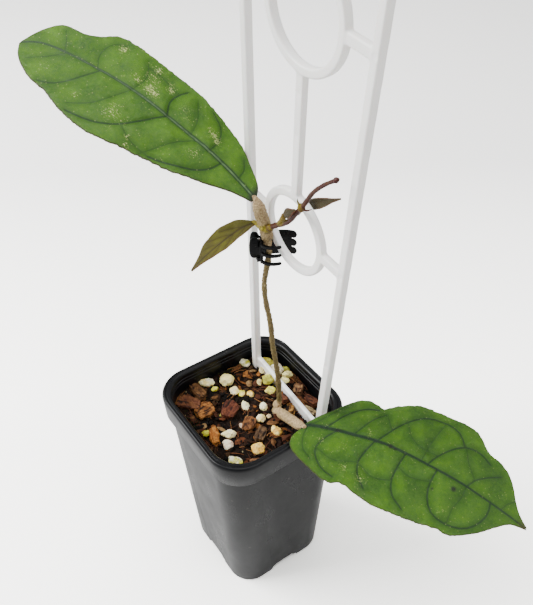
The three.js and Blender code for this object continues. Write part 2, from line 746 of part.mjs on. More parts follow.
// Clip
function prongSolid(route, thickness, height, level) {
  const curve = new THREE.SplineCurve(route.map(([u, v]) => new THREE.Vector2(u, v)));
  const points = curve.getPoints(PRONG_STEPS);
  const left = [];
  const right = [];
  points.forEach((p, index) => {
    const tangent = curve.getTangent(index / PRONG_STEPS);
    const taper = thickness / 2 * (1 - 0.35 * (index / PRONG_STEPS) ** 2);
    left.push(new THREE.Vector2(p.x - tangent.y * taper, p.y + tangent.x * taper));
    right.push(new THREE.Vector2(p.x + tangent.y * taper, p.y - tangent.x * taper));
  });
  const shape = new THREE.Shape([...right, ...left.reverse()]);
  const solid = new THREE.ExtrudeGeometry(shape, { depth: height, bevelEnabled: false });
  return toSolid(solid.translate(0, 0, level - height / 2));
}

function rounded(x, y, z, sx, sy, sz) {
  const geometry = new THREE.SphereGeometry(1, 14, 8);
  return toSolid(geometry.scale(sx, sy, sz).translate(x, y, z));
}

function cylinderAt([x, y], radius, height, level, sides = 20) {
  const cylinder = new THREE.CylinderGeometry(radius, radius, height, sides).rotateX(Math.PI / 2);
  return toSolid(cylinder.translate(x, y, level));
}

function boxAt(x, y, z, sx, sy, sz) {
  return toSolid(new THREE.BoxGeometry(sx, sy, sz).translate(x, y, z));
}

// One jaw: side is -1 for the near jaw and 1 for the far one.
function jawSolid(side, prong, prongHeight, knuckles) {
  const { pivot, height, prongLevels, prongThickness, padCentre, padLevel, padSize, padThickness } = CLIP;
  const solids = prongLevels.map((level) => prongSolid(prong, prongThickness, prongHeight, level));
  const spineY = side * 2.4;
  solids.push(boxAt(prong[0][0] + 0.3, spineY, 0, 1.2, 2.2, height));
  const pad = rounded(padCentre[0], 0, padLevel, padSize[0], padThickness, padSize[1]);
  const lean = THREE.MathUtils.degToRad(-side * 14);
  const padGeometry = toGeometry(pad).translate(-pivot[0], 0, 0).rotateZ(lean);
  solids.push(toSolid(padGeometry.translate(pivot[0], side * (padCentre[1] - 1), 0)));
  const armX = (pivot[0] + padCentre[0]) / 2;
  solids.push(boxAt(armX + 0.9, side * 2.5, 0, 3.4, 1, height * 0.62));
  for (const level of knuckles) {
    solids.push(cylinderAt(pivot, CLIP.knuckleRadius, 2, level));
    solids.push(boxAt(pivot[0], side * 1.4, level, 1.8, 1.8, 2));
  }
  const bore = cylinderAt(pivot, CLIP.boreRadius, 20, 0, 16);
  return joinAll(solids).subtract(bore);
}

function makeClip() {
  const group = new THREE.Group();
  group.position.set(...CLIP.centre);
  group.rotation.z = THREE.MathUtils.degToRad(CLIP.turn);
  const plastic = () => new THREE.MeshStandardMaterial({ color: 0x101114, roughness: 0.35, metalness: 0 });
  const near = [-3.9, 1.3];
  const far = [-1.3, 3.9];
  const clearOf = (levels, side) => levels.map((level) => joinAll([
    cylinderAt(CLIP.pivot, CLIP.knuckleRadius + CLEARANCE, 2 + 2 * CLEARANCE, level),
    boxAt(CLIP.pivot[0], side * 1.4, level, 2.4, 2.4, 2 + 2 * CLEARANCE),
  ]));
  const { nearProng, farProng, nearProngHeight, farProngHeight, webThickness, webTurns, height } = CLIP;
  const web = prongSolid(farProng.slice(0, webTurns), webThickness, height, 0);
  const nearJaw = cutAll(jawSolid(-1, nearProng, nearProngHeight, near), clearOf(far, 1));
  const farJaw = cutAll(jawSolid(1, farProng, farProngHeight, far).add(web), clearOf(near, -1));
  group.add(node('clip_near_jaw', toGeometry(largestBody(nearJaw)), plastic()));
  group.add(node('clip_far_jaw', toGeometry(largestBody(farJaw)), plastic()));
  const steel = new THREE.MeshStandardMaterial({ color: 0x8c8e90, roughness: 0.3, metalness: 1 });
  group.add(node('clip_pin', toGeometry(cylinderAt(CLIP.pivot, CLIP.pinRadius, 10.4, 0, 12)), steel));
  group.updateMatrixWorld(true);
  return group;
}

// Assembly
function makePart() {
  const root = new THREE.Group();
  const trellis = trellisGroup();
  const legSeat = inWorld(trellisLegs(CLEARANCE), trellis);
  const stemSeat = makeStem(CLEARANCE);
  const rooted = [legSeat, stemSeat];
  const laid = layPieces(rooted);
  root.add(makePot());
  root.add(makeSoil([...rooted, ...laid.seats]));
  root.add(...laid.meshes);
  const white = new THREE.MeshStandardMaterial({ color: 0xeceae6, roughness: 0.42, metalness: 0 });
  trellis.add(node('trellis', toGeometry(trellisFrame()), white));
  root.add(trellis);
  const bark = new THREE.MeshStandardMaterial({ color: 0x9a8c62, roughness: 0.75, metalness: 0 });
  root.add(node('stem', toGeometry(makeStem()), bark));
  const leaves = [UPPER_LEAF, LOWER_LEAF, YOUNG_LEFT_LEAF, YOUNG_RIGHT_LEAF, CURLED_LEAF];
  leaves.forEach((leaf) => root.add(makeLeaf(leaf)));
  root.add(makeShoot([stemSeat]));
  root.add(makeClip());
  return root;
}

// The origin is the middle of the bottom of the whole part's box.
const part = new THREE.Group();
part.add(makePart());
const box = new THREE.Box3().setFromObject(part, true);
part.position.set(-(box.min.x + box.max.x) / 2, -(box.min.y + box.max.y) / 2, -box.min.z);
part.updateMatrixWorld(true);

export default part;
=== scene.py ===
import bpy
import math
import random
import numpy as np
from mathutils import Matrix, Vector, noise


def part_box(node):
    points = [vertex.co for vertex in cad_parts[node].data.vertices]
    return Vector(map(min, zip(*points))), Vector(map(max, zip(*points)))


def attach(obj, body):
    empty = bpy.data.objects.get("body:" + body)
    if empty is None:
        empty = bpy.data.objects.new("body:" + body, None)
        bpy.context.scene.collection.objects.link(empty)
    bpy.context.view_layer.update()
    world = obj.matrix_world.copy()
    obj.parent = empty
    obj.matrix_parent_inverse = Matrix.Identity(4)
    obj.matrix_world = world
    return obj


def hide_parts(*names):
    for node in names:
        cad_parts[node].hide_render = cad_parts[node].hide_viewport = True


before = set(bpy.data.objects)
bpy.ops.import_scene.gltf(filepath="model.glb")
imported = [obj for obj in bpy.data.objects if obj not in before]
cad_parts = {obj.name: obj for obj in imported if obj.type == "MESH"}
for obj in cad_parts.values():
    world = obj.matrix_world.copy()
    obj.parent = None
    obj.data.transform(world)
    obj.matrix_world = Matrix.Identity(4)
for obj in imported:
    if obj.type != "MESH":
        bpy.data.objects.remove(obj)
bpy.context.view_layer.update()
print("frame loaded")

mm = 0.001
potLow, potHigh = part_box("pot")
potPlace = Vector(((potLow.x + potHigh.x) / 2, (potLow.y + potHigh.y) / 2, 0))  # middle of the pot's foot
plantBody = "potted_plant"
jawBody = "clip_jaw"


def pickOnly(piece):
    if bpy.context.mode != "OBJECT":
        bpy.ops.object.mode_set(mode="OBJECT")
    bpy.ops.object.select_all(action="DESELECT")
    piece.select_set(True)
    bpy.context.view_layer.objects.active = piece


def applyModifier(piece, kind, **settings):
    pickOnly(piece)
    modifier = piece.modifiers.new(kind.lower(), kind)
    for key, value in settings.items():
        setattr(modifier, key, value)
    bpy.ops.object.modifier_apply(modifier=modifier.name)


def cutAway(piece, cutters):
    for cutter in cutters:
        applyModifier(piece, "BOOLEAN", object=cutter, operation="DIFFERENCE", solver="EXACT")
        bpy.data.objects.remove(cutter)


def joinPieces(name, parts):
    pickOnly(parts[0])
    for part in parts:
        part.select_set(True)
    bpy.ops.object.join()
    whole = bpy.context.view_layer.objects.active
    whole.name = name
    return whole


def applyPlace(piece):
    pickOnly(piece)
    bpy.ops.object.transform_apply(location=True, rotation=True, scale=True)


def started(add, **settings):
    # a primitive on its own, with its place and size put into its mesh
    bpy.ops.object.select_all(action="DESELECT")
    add(**settings)
    piece = bpy.context.view_layer.objects.active
    applyPlace(piece)
    return piece


def editAll(piece, tool, **settings):
    # one edit-mode tool on the whole piece
    pickOnly(piece)
    bpy.ops.object.mode_set(mode="EDIT")
    bpy.ops.mesh.select_all(action="SELECT")
    tool(**settings)
    bpy.ops.object.mode_set(mode="OBJECT")


def faceOutward(piece):
    editAll(piece, bpy.ops.mesh.normals_make_consistent, inside=False)


def meshPiece(name, points, faces):
    mesh = bpy.data.meshes.new(name)
    mesh.from_pydata([tuple(p) for p in points], [], faces)
    piece = bpy.data.objects.new(name, mesh)
    bpy.context.scene.collection.objects.link(piece)
    return piece


def fuse(piece, grain, rounds, strength=0.5):
    # skins the joined parts as one moulded body, then softens the steps
    applyModifier(piece, "REMESH", mode="VOXEL", voxel_size=grain, adaptivity=0.0)
    applyModifier(piece, "SMOOTH", iterations=rounds, factor=strength)


def roughen(piece, kind, size, strength, middle=0.5, **more):
    texture = bpy.data.textures.new(piece.name + kind, kind)
    texture.noise_scale = size
    for key, value in more.items():
        setattr(texture, key, value)
    applyModifier(piece, "DISPLACE", texture=texture, strength=strength, mid_level=middle,
                  direction="NORMAL", texture_coords="LOCAL")


def shadeSoft(piece, angle=None):
    pickOnly(piece)
    if angle is None:
        bpy.ops.object.shade_smooth()
    else:
        bpy.ops.object.shade_smooth_by_angle(angle=math.radians(angle))


def spotsOf(piece, what="co"):
    flat = np.zeros(len(piece.data.vertices) * 3)
    piece.data.vertices.foreach_get(what, flat)
    return flat.reshape(-1, 3)


def moveSpots(piece, spots):
    piece.data.vertices.foreach_set("co", spots.ravel())
    piece.data.update()


def store(piece, name, values):
    # a number at every spot; a leaf's top and back share theirs, and one number may serve all
    flat = np.ravel(values)
    flat = np.tile(flat, len(piece.data.vertices) // flat.size)
    layer = piece.data.attributes.new(name, "FLOAT", "POINT")
    layer.data.foreach_set("value", np.ascontiguousarray(flat, dtype=np.float32))


def tintOf(piece, name, colour):
    layer = piece.data.attributes.new(name, "FLOAT_COLOR", "POINT")
    layer.data.foreach_set("color", [*colour, 1.0] * len(piece.data.vertices))


def finishPiece(piece, name, material, node, body=plantBody):
    # a piece is modelled in millimetres about the pot's foot, then put where the frame stands
    piece.data.transform(Matrix.Translation(potPlace) @ Matrix.Scale(mm, 4))
    piece.name = name
    piece.data.name = name
    piece.data.materials.clear()
    piece.data.materials.append(material)
    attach(piece, body)
    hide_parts(node)


def smoothPath(points, count):
    # the same smooth line through points that the stems follow in the frame
    pts = [Vector(p) for p in points]
    pts = [pts[0] * 2 - pts[1]] + pts + [pts[-1] * 2 - pts[-2]]
    dense = []
    for p0, p1, p2, p3 in zip(pts, pts[1:], pts[2:], pts[3:]):
        d0, d1, d2 = (max((b - a).length ** 0.5, 1e-4) for a, b in ((p0, p1), (p1, p2), (p2, p3)))
        m1 = ((p1 - p0) / d0 - (p2 - p0) / (d0 + d1) + (p2 - p1) / d1) * d1
        m2 = ((p2 - p1) / d1 - (p3 - p1) / (d1 + d2) + (p3 - p2) / d2) * d1
        for i in range(24):
            t = i / 24
            dense.append((2 * t ** 3 - 3 * t ** 2 + 1) * p1 + (t ** 3 - 2 * t ** 2 + t) * m1
                         + (3 * t ** 2 - 2 * t ** 3) * p2 + (t ** 3 - t ** 2) * m2)
    dense.append(pts[-2])
    return evenPoints(dense, count)


def evenPoints(dense, count):
    lengths = [0.0]
    for a, b in zip(dense, dense[1:]):
        lengths.append(lengths[-1] + (b - a).length)
    result = []
    k = 0
    for i in range(count + 1):
        goal = lengths[-1] * i / count
        while k < len(dense) - 2 and lengths[k + 1] < goal:
            k += 1
        span = max(lengths[k + 1] - lengths[k], 1e-9)
        result.append(dense[k].lerp(dense[k + 1], min(1.0, max(0.0, (goal - lengths[k]) / span))))
    return result


def stalk(name, points, radii, roundness=5):
    # a round bar along points, with its own radius at each
    curve = bpy.data.curves.new(name, "CURVE")
    curve.dimensions = "3D"
    curve.bevel_depth = 1.0
    curve.bevel_resolution = roundness
    curve.use_fill_caps = True
    line = curve.splines.new("POLY")
    line.points.add(len(points) - 1)
    for spot, place, radius in zip(line.points, points, radii):
        spot.co = (*place, 1)
        spot.radius = radius
    piece = bpy.data.objects.new(name, curve)
    bpy.context.scene.collection.objects.link(piece)
    pickOnly(piece)
    bpy.ops.object.convert(target="MESH")
    return bpy.context.view_layer.objects.active


def lump(place, size, detail=3):
    return started(bpy.ops.mesh.primitive_ico_sphere_add, subdivisions=detail, radius=1, location=place,
                   scale=size)


def roundLump(detail):
    return lump((0, 0, 0), (1, 1, 1), detail)


def frameCopy(nodeName):
    # a merged copy of a frame node, in millimetres about the pot's foot
    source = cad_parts[nodeName]
    piece = bpy.data.objects.new(nodeName + "Copy", source.data.copy())
    bpy.context.scene.collection.objects.link(piece)
    piece.data.transform(Matrix.Scale(1 / mm, 4) @ Matrix.Translation(-potPlace))
    editAll(piece, bpy.ops.mesh.remove_doubles, threshold=0.002)
    return piece


def addNode(tree, kind, links=None, **settings):
    made = tree.nodes.new(kind)
    for key, value in settings.items():
        setattr(made, key, value)
    for socket, value in (links or {}).items():
        if hasattr(value, "is_output"):
            tree.links.new(value, made.inputs[socket])
        else:
            made.inputs[socket].default_value = value
    return made


def newGroup(name, values, output):
    # a shader group that reads a place and some numbers, and puts out one value
    group = bpy.data.node_groups.new(name, "ShaderNodeTree")
    group.interface.new_socket("Place", in_out="INPUT", socket_type="NodeSocketVector")
    for label, value in values.items():
        socket = group.interface.new_socket(label, in_out="INPUT", socket_type="NodeSocketFloat")
        socket.default_value = value
    group.interface.new_socket(output, in_out="OUTPUT", socket_type="NodeSocketFloat")
    return group, group.nodes.new("NodeGroupInput").outputs, group.nodes.new("NodeGroupOutput").inputs


def buildMottle():
    # soft cloudy variation, 0 to 1
    group, start, end = newGroup("softMottle", {"Scale": 300, "Detail": 4, "From": 0.35, "To": 0.65}, "Value")
    cloud = addNode(group, "ShaderNodeTexNoise", {"Vector": start["Place"], "Scale": start["Scale"],
                                                  "Detail": start["Detail"]})
    soft = addNode(group, "ShaderNodeMapRange", {"Value": cloud.outputs["Fac"], "From Min": start["From"],
                                                 "From Max": start["To"]})
    group.links.new(soft.outputs["Result"], end["Value"])
    return group


def buildSpecks():
    # small separate specks, 1 on a speck
    group, start, end = newGroup("smallSpecks", {"Scale": 900, "Share": 0.2}, "Mask")
    cells = addNode(group, "ShaderNodeTexVoronoi", {"Vector": start["Place"], "Scale": start["Scale"]})
    pick = addNode(group, "ShaderNodeSeparateColor", {"Color": cells.outputs["Color"]})
    chosen = addNode(group, "ShaderNodeMath", {0: pick.outputs[0], 1: start["Share"]}, operation="LESS_THAN")
    near = addNode(group, "ShaderNodeMapRange", {"Value": cells.outputs["Distance"], "From Min": 0.42,
                                                 "From Max": 0.2})
    both = addNode(group, "ShaderNodeMath", {0: chosen.outputs[0], 1: near.outputs["Result"]},
                   operation="MULTIPLY")
    group.links.new(both.outputs[0], end["Mask"])
    return group


mottle = buildMottle()
specks = buildSpecks()


class Finish:
    # a material being mixed: its nodes, its shader, and the place that its patterns follow
    def __init__(self, name, roughness, **shader):
        self.material = bpy.data.materials.new(name)
        self.material.use_nodes = True
        self.tree = self.material.node_tree
        self.surface = self.tree.nodes["Principled BSDF"]
        self.surface.inputs["Roughness"].default_value = roughness
        for key, value in shader.items():
            self.surface.inputs[key.replace("_", " ")].default_value = value
        self.place = self.node("ShaderNodeTexCoord").outputs["Object"]

    def node(self, kind, links=None, **settings):
        return addNode(self.tree, kind, links, **settings)

    def cloud(self, scale, detail, low, high):
        return self.node("ShaderNodeGroup", {"Place": self.place, "Scale": scale, "Detail": detail,
                                             "From": low, "To": high}, node_tree=mottle).outputs[0]

    def dots(self, scale, share):
        return self.node("ShaderNodeGroup", {"Place": self.place, "Scale": scale, "Share": share},
                         node_tree=specks).outputs[0]

    def noise(self, scale, detail, stretch=None, roughness=0.5):
        place = self.place
        if stretch:
            place = self.node("ShaderNodeMapping", {"Vector": place, "Scale": stretch}).outputs["Vector"]
        return self.node("ShaderNodeTexNoise", {"Vector": place, "Scale": scale, "Detail": detail,
                                                "Roughness": roughness}).outputs["Fac"]

    def own(self, name, output="Fac"):
        return self.node("ShaderNodeAttribute", attribute_name=name).outputs[output]

    def ownColour(self, name):
        return self.own(name, "Color")

    def reckon(self, operation, first, second=0.0, third=0.0):
        return self.node("ShaderNodeMath", {0: first, 1: second, 2: third}, operation=operation).outputs[0]

    def times(self, first, *others):
        for other in others:
            first = self.reckon("MULTIPLY", first, other)
        return first

    def spread(self, value, low, high, toLow=0.0, toHigh=1.0):
        return self.node("ShaderNodeMapRange", {"Value": value, "From Min": low, "From Max": high,
                                                "To Min": toLow, "To Max": toHigh}).outputs["Result"]

    def blend(self, factor, first, second, mode="MIX"):
        first, second = (c if hasattr(c, "is_output") else (*c, 1) for c in (first, second))
        return self.node("ShaderNodeMix", {0: factor, 6: first, 7: second}, data_type="RGBA",
                         blend_type=mode).outputs[2]

    def coat(self, base, colour, mask, amount):
        # a colour laid over another where the mask is, at most by the amount
        return self.blend(self.times(mask, amount), base, colour)

    def relief(self, height, distance, strength, under=None):
        made = self.node("ShaderNodeBump", {"Height": height, "Distance": distance, "Strength": strength})
        if under is not None:
            self.tree.links.new(under, made.inputs["Normal"])
        return made.outputs["Normal"]

    def done(self, base, rough, relief):
        for socket, value in (("Base Color", base), ("Roughness", rough), ("Normal", relief)):
            if value is not None:
                self.tree.links.new(value, self.surface.inputs[socket])
        return self.material


view = {"place": (195.2, -119.9, 356.6), "right": (0.5536, 0.8328, 0.0), "up": (-0.5347, 0.3554, 0.7667),
        "roll": -1.351, "sensor": 36, "focalPixels": 717, "framePixels": 605}


def makeCamera():
    camera = bpy.data.objects.new("camera", bpy.data.cameras.new("camera"))
    bpy.context.scene.collection.objects.link(camera)
    camera.data.sensor_width = view["sensor"]
    camera.data.lens = view["sensor"] * view["focalPixels"] / view["framePixels"]
    camera.data.clip_start = 0.01
    roll = math.radians(view["roll"])
    right, up = Vector(view["right"]), Vector(view["up"])
    side = right * math.cos(roll) + up * math.sin(roll)
    top = up * math.cos(roll) - right * math.sin(roll)
    back = side.cross(top).normalized()
    turn = Matrix((side, top, back)).transposed().to_4x4()
    camera.matrix_world = Matrix.Translation(potPlace + Vector(view["place"]) * mm) @ turn
    bpy.context.scene.camera = camera


def makeFloor():
    floor = started(bpy.ops.mesh.primitive_plane_add, size=8)
    floor.name = "paleFloor"
    mix = Finish("paleFloor", 0.6, Specular_IOR_Level=0.2)
    mix.surface.inputs["Base Color"].default_value = (0.80, 0.80, 0.79, 1)
    # painted light: to the camera the floor shows brighter than its lamps make it, a painted pool of light
    # washed out near the pot and calmer further back
    spot = mix.node("ShaderNodeSeparateXYZ", {"Vector": mix.place}).outputs
    away = mix.reckon("MULTIPLY_ADD", spot["Y"], 0.55, mix.times(spot["X"], -0.83))
    lit = mix.blend(mix.spread(away, 0.12, 0.42), (2.15, 2.13, 2.07), (1.38, 1.37, 1.345))
    bright = mix.node("ShaderNodeBsdfDiffuse", {"Color": lit}).outputs[0]
    seen = mix.node("ShaderNodeLightPath").outputs["Is Camera Ray"]
    both = mix.node("ShaderNodeMixShader", {0: seen, 1: mix.surface.outputs[0], 2: bright}).outputs[0]
    mix.tree.links.new(both, mix.tree.nodes["Material Output"].inputs["Surface"])
    floor.data.materials.append(mix.material)


roomLight = 0.62
# name: place, aim, size, watts
lamps = {"windowLeft": ((-0.75, -0.85, 0.9), (0, 0, 0.15), (1.0, 0.8), 37),
         "ceiling": ((0.1, 0.1, 1.5), (0, 0, 0), (1.4, 1.4), 19),
         "fillRight": ((1.0, 0.35, 0.8), (0, 0, 0.15), (0.8, 0.8), 3)}


def makeLight():
    world = bpy.data.worlds.new("softRoom")
    bpy.context.scene.world = world
    world.use_nodes = True
    world.node_tree.nodes["Background"].inputs["Color"].default_value = (1, 1, 1, 1)
    world.node_tree.nodes["Background"].inputs["Strength"].default_value = roomLight
    for name, (place, aim, size, power) in lamps.items():
        lamp = bpy.data.lights.new(name, "AREA")
        lamp.shape = "RECTANGLE"
        lamp.size, lamp.size_y = size
        lamp.energy = power
        holder = bpy.data.objects.new(name, lamp)
        bpy.context.scene.collection.objects.link(holder)
        holder.location = place
        holder.rotation_mode = "QUATERNION"
        holder.rotation_quaternion = (Vector(aim) - Vector(place)).to_track_quat("-Z", "Y")


makeCamera()
makeFloor()
makeLight()
print("camera, floor and light set")


potShape = {
    "corner": 11.9 / 26.3, "cornerSteps": 12, "archWidth": 16, "archRise": 4, "archStep": 1.4,
    "drain": 3.5, "drainsAt": (9.5, 4), "edge": 0.18,
    # from the foot up the outside, over the rim and down the inside: half width, height
    "rings": [(25.5, 0), (26.15, 0.25), (26.32, 1.0), (32.2, 95.5), (32.35, 106.2), (34.0, 106.5),
              (33.3, 96.0), (33.5, 95.55), (34.0, 95.5), (34.2, 95.9), (34.85, 106.2), (34.75, 107.0),
              (34.4, 107.75), (34.0, 108.0), (33.7, 108.0), (33.5, 107.6), (33.05, 107.6), (32.8, 108.0),
              (32.3, 108.0), (31.6, 107.7), (31.1, 106.9), (31.0, 106.0), (31.3, 105.9), (31.25, 104.9),
              (30.95, 104.8), (30.92, 104.0), (31.2, 103.9), (31.15, 103.0), (30.9, 102.9), (30.75, 95.0),
              (25.5, 6.5)],
}


def makePotFinish():
    mix = Finish("blackPotPlastic", 0.3, Specular_IOR_Level=0.2)
    base = mix.blend(mix.cloud(70, 5, 0.3, 0.7), (0.0016, 0.0017, 0.0022), (0.0040, 0.0042, 0.0052))
    base = mix.coat(base, (0.10, 0.09, 0.075), mix.dots(520, 0.012), 0.3)  # dust
    scuff = mix.noise(1, 5, (90, 90, 60))
    grain = mix.relief(mix.noise(1700, 2), 0.00005, 0.3)
    sinks = mix.relief(mix.noise(45, 2), 0.0006, 0.25, grain)
    return mix.done(base, mix.spread(scuff, 0.3, 0.7, 0.25, 0.36), sinks)


def makePot():
    rings = potShape["rings"]
    half = rings[0][0]
    pot = started(bpy.ops.mesh.primitive_plane_add, size=2 * half)
    bpy.ops.object.mode_set(mode="EDIT")
    bpy.ops.mesh.select_all(action="SELECT")
    bpy.ops.mesh.bevel(offset=potShape["corner"] * half, segments=potShape["cornerSteps"], affect="VERTICES")
    bpy.ops.mesh.select_all(action="SELECT")
    for (half, z), (lastHalf, lastZ) in zip(rings[1:], rings):
        bpy.ops.mesh.extrude_region_move(TRANSFORM_OT_translate={"value": (0, 0, z - lastZ)})
        ratio = half / lastHalf
        bpy.ops.transform.resize(value=(ratio, ratio, 1), center_override=(0, 0, z))
    faceOutward(pot)
    drainX, drainY = potShape["drainsAt"]
    cutters = [makeArch(turn) for turn in (0, math.pi / 2)]
    cutters += [barrel((x, y, 6), potShape["drain"], 12)
                for x in (-drainX, drainX) for y in (-drainY, drainY)]
    cutAway(pot, cutters)
    applyModifier(pot, "BEVEL", width=potShape["edge"], segments=2, limit_method="ANGLE",
                  angle_limit=math.radians(50))
    shadeSoft(pot, 40)
    finishPiece(pot, "nurseryPot", makePotFinish(), "pot")


def barrel(place, radius, height, sides=32):
    return started(bpy.ops.mesh.primitive_cylinder_add, vertices=sides, radius=radius, depth=height,
                   location=place)


def makeArch(turn):
    # the low arch between two feet: round at one end, with a small step at the other
    half, rise = potShape["archWidth"] / 2, potShape["archRise"]
    step = rise - potShape["archStep"]
    outline = [(-half, -2), (-half, 0.6)]
    outline += [(-half + 6 * (i / 8) ** 2, 0.6 + (rise - 0.6) * (i / 4 - (i / 8) ** 2)) for i in range(1, 9)]
    outline += [(half - 2.4, rise), (half - 2.4, step), (half, step - 0.4), (half, -2)]
    span = 36  # past both walls
    points = [(x, y, z) for y in (-span, span) for x, z in outline]
    count = len(outline)
    faces = [tuple(range(count)), tuple(range(2 * count - 1, count - 1, -1))]
    faces += [(i, i + count, (i + 1) % count + count, (i + 1) % count) for i in range(count)]
    arch = meshPiece("archCutter", points, faces)
    arch.rotation_euler = (0, 0, turn)
    applyPlace(arch)
    faceOutward(arch)
    return arch


makePot()
print("pot made")


trellisShape = {
    "foot": (-9.3, 23.7, 10.7), "sideLean": 6.7, "forwardLean": 2.7, "fan": 0.0357, "fanLevel": 194,
    "spacing": 29.5, "rail": (4.0, 3.4), "upperRail": 3.52, "barDepth": 2.8, "spike": 63, "railStart": 80,
    "railJoint": 100, "railTop": 300, "topBar": 310, "ground": (85.5, 93), "overlap": 1.5, "edge": 0.45,
    "smallRing": (193.2, 18.3, 14.8, 2.9), "bigRing": (279, 20.1, 16.8, 3.4),  # level, outer, inner, depth
    "pinMark": 1.25, "pinMarkDepth": 0.22, "grain": 0.42,
}


def railAt(level):
    return trellisShape["spacing"] + trellisShape["fan"] * (level - trellisShape["fanLevel"])


def flatBar(start, end, width, endWidth, depth):
    # a straight bar in the trellis's own plane
    low, high = Vector((start[0], 0, start[1])), Vector((end[0], 0, end[1]))
    along = (high - low).normalized()
    aside = Vector((-along.z, 0, along.x))
    bar = started(bpy.ops.mesh.primitive_cube_add, size=1)
    for corner in bar.data.vertices:
        atEnd = corner.co.z > 0
        wide = (endWidth if atEnd else width) * (1 if corner.co.x > 0 else -1) / 2
        deep = depth * (1 if corner.co.y > 0 else -1) / 2
        corner.co = (high if atEnd else low) + aside * wide + Vector((0, deep, 0))
    faceOutward(bar)
    applyModifier(bar, "BEVEL", width=trellisShape["edge"], segments=2, limit_method="ANGLE")
    return bar


def flatRing(level, outer, inner, depth):
    middle = (outer + inner) / 2
    ring = started(bpy.ops.mesh.primitive_torus_add, location=(0, 0, level), rotation=(math.pi / 2, 0, 0),
                   major_segments=128, minor_segments=4, major_radius=middle, minor_radius=1)
    for spot in ring.data.vertices:  # square the round section up
        out = Vector((spot.co.x, 0, spot.co.z - level))
        reach, back = out.length - middle, spot.co.y
        wide, deep = (0 if abs(turned) < 0.02 else math.copysign(1, turned)
                      for turned in (reach - back, reach + back))
        spot.co = (out.normalized() * (middle + wide * (outer - inner) / 2)
                   + Vector((0, deep * depth / 2, level)))
    applyModifier(ring, "BEVEL", width=trellisShape["edge"], segments=2, limit_method="ANGLE")
    return ring


def makeTrellisFinish():
    mix = Finish("whiteTrellisPlastic", 0.36, Specular_IOR_Level=0.5, Subsurface_Weight=0.08,
                 Subsurface_Scale=0.004)
    base = mix.blend(mix.cloud(60, 4, 0.3, 0.7), (0.90, 0.885, 0.85), (0.95, 0.94, 0.915))
    height = mix.node("ShaderNodeSeparateXYZ", {"Vector": mix.place}).outputs["Z"]
    # a brown mottle, full at the mix and fading out just above the pot's rim
    base = mix.coat(base, (0.30, 0.22, 0.15), mix.cloud(260, 6, 0.5, 0.75), mix.spread(height, 0.112, 0.094))
    flow = mix.noise(1, 4, (500, 500, 60))
    return mix.done(base, mix.spread(flow, 0.3, 0.7, 0.3, 0.42), mix.relief(flow, 0.0001, 0.3))


def makeTrellis():
    shape = trellisShape
    (railWide, railDeep), upper = shape["rail"], shape["upperRail"]
    barDeep, over = shape["barDepth"], shape["overlap"]
    start, joint, railTop, top = (shape[k] for k in ("railStart", "railJoint", "railTop", "topBar"))
    rings = small, big = shape["smallRing"], shape["bigRing"]
    bars = []
    for side in (-1, 1):
        at = lambda level: (side * railAt(level), level)
        bars += [flatBar(at(shape["spike"]), at(start), 1.6, railWide, railDeep * 0.7),
                 flatBar(at(start - 1), at(joint + 1), railWide, railWide, railDeep),
                 flatBar(at(joint), at(railTop), railWide, upper, railDeep)]
        bars += [flatBar((side * (outer + inner) / 2, level), at(level), railWide, railWide, barDeep)
                 for level, outer, inner, depth in rings]
        bars += shoulder(side)
    low, high = shape["ground"]
    middle = (low + high) / 2
    reach, topReach = railAt(middle), railAt(railTop) - (top - railTop) + 0.5
    bars += [flatBar((-reach, middle), (reach, middle), high - low, high - low, barDeep * 0.8),
             flatBar((-topReach, top), (topReach, top), upper, upper, railDeep),
             flatBar((0, small[0] + small[2] + over), (0, big[0] - big[2] - over), railWide, railWide,
                     barDeep),
             flatBar((0, big[0] + big[2] + over), (0, top), railWide, railWide, barDeep)]
    bars += [flatRing(*ring) for ring in rings]
    trellis = joinPieces("ringTrellis", bars)
    fuse(trellis, shape["grain"], 5)
    pressPinMarks(trellis)
    applyModifier(trellis, "DECIMATE", ratio=0.55)
    trellis.data.transform(Matrix.Translation(shape["foot"])
                           @ Matrix.Rotation(math.radians(shape["forwardLean"]), 4, "X")
                           @ Matrix.Rotation(math.radians(shape["sideLean"]), 4, "Y"))
    shadeSoft(trellis)
    finishPiece(trellis, "ringTrellis", makeTrellisFinish(), "trellis")


def shoulder(side):
    # the quarter bend at the top of a rail, in short bars
    rise = trellisShape["topBar"] - trellisShape["railTop"]
    inward = railAt(trellisShape["railTop"]) - rise
    width, deep = trellisShape["upperRail"], trellisShape["rail"][1]
    bend = 10
    corner = lambda k: (side * (inward + rise * math.cos(k / bend * math.pi / 2)),
                        trellisShape["railTop"] + rise * math.sin(k / bend * math.pi / 2))
    return [flatBar(corner(i - 0.1), corner(i + 1.1), width, width, deep) for i in range(bend)]


def pressPinMarks(trellis):
    # shallow round marks where the mould's pins pushed the piece out
    marks = [(0, 236), (0, 252)] + [(side * railAt(z), z) for z in (279, 193.2, 140) for side in (1, -1)]
    reach, deep = trellisShape["pinMark"], trellisShape["pinMarkDepth"]
    for spot in trellis.data.vertices:
        if spot.co.y > -0.9:  # only the front
            continue
        for u, v in marks:
            away = math.hypot(spot.co.x - u, spot.co.z - v)
            if away < reach:
                spot.co.y += deep * min(1, (reach - away) / 0.35)


makeTrellis()
print("trellis made")


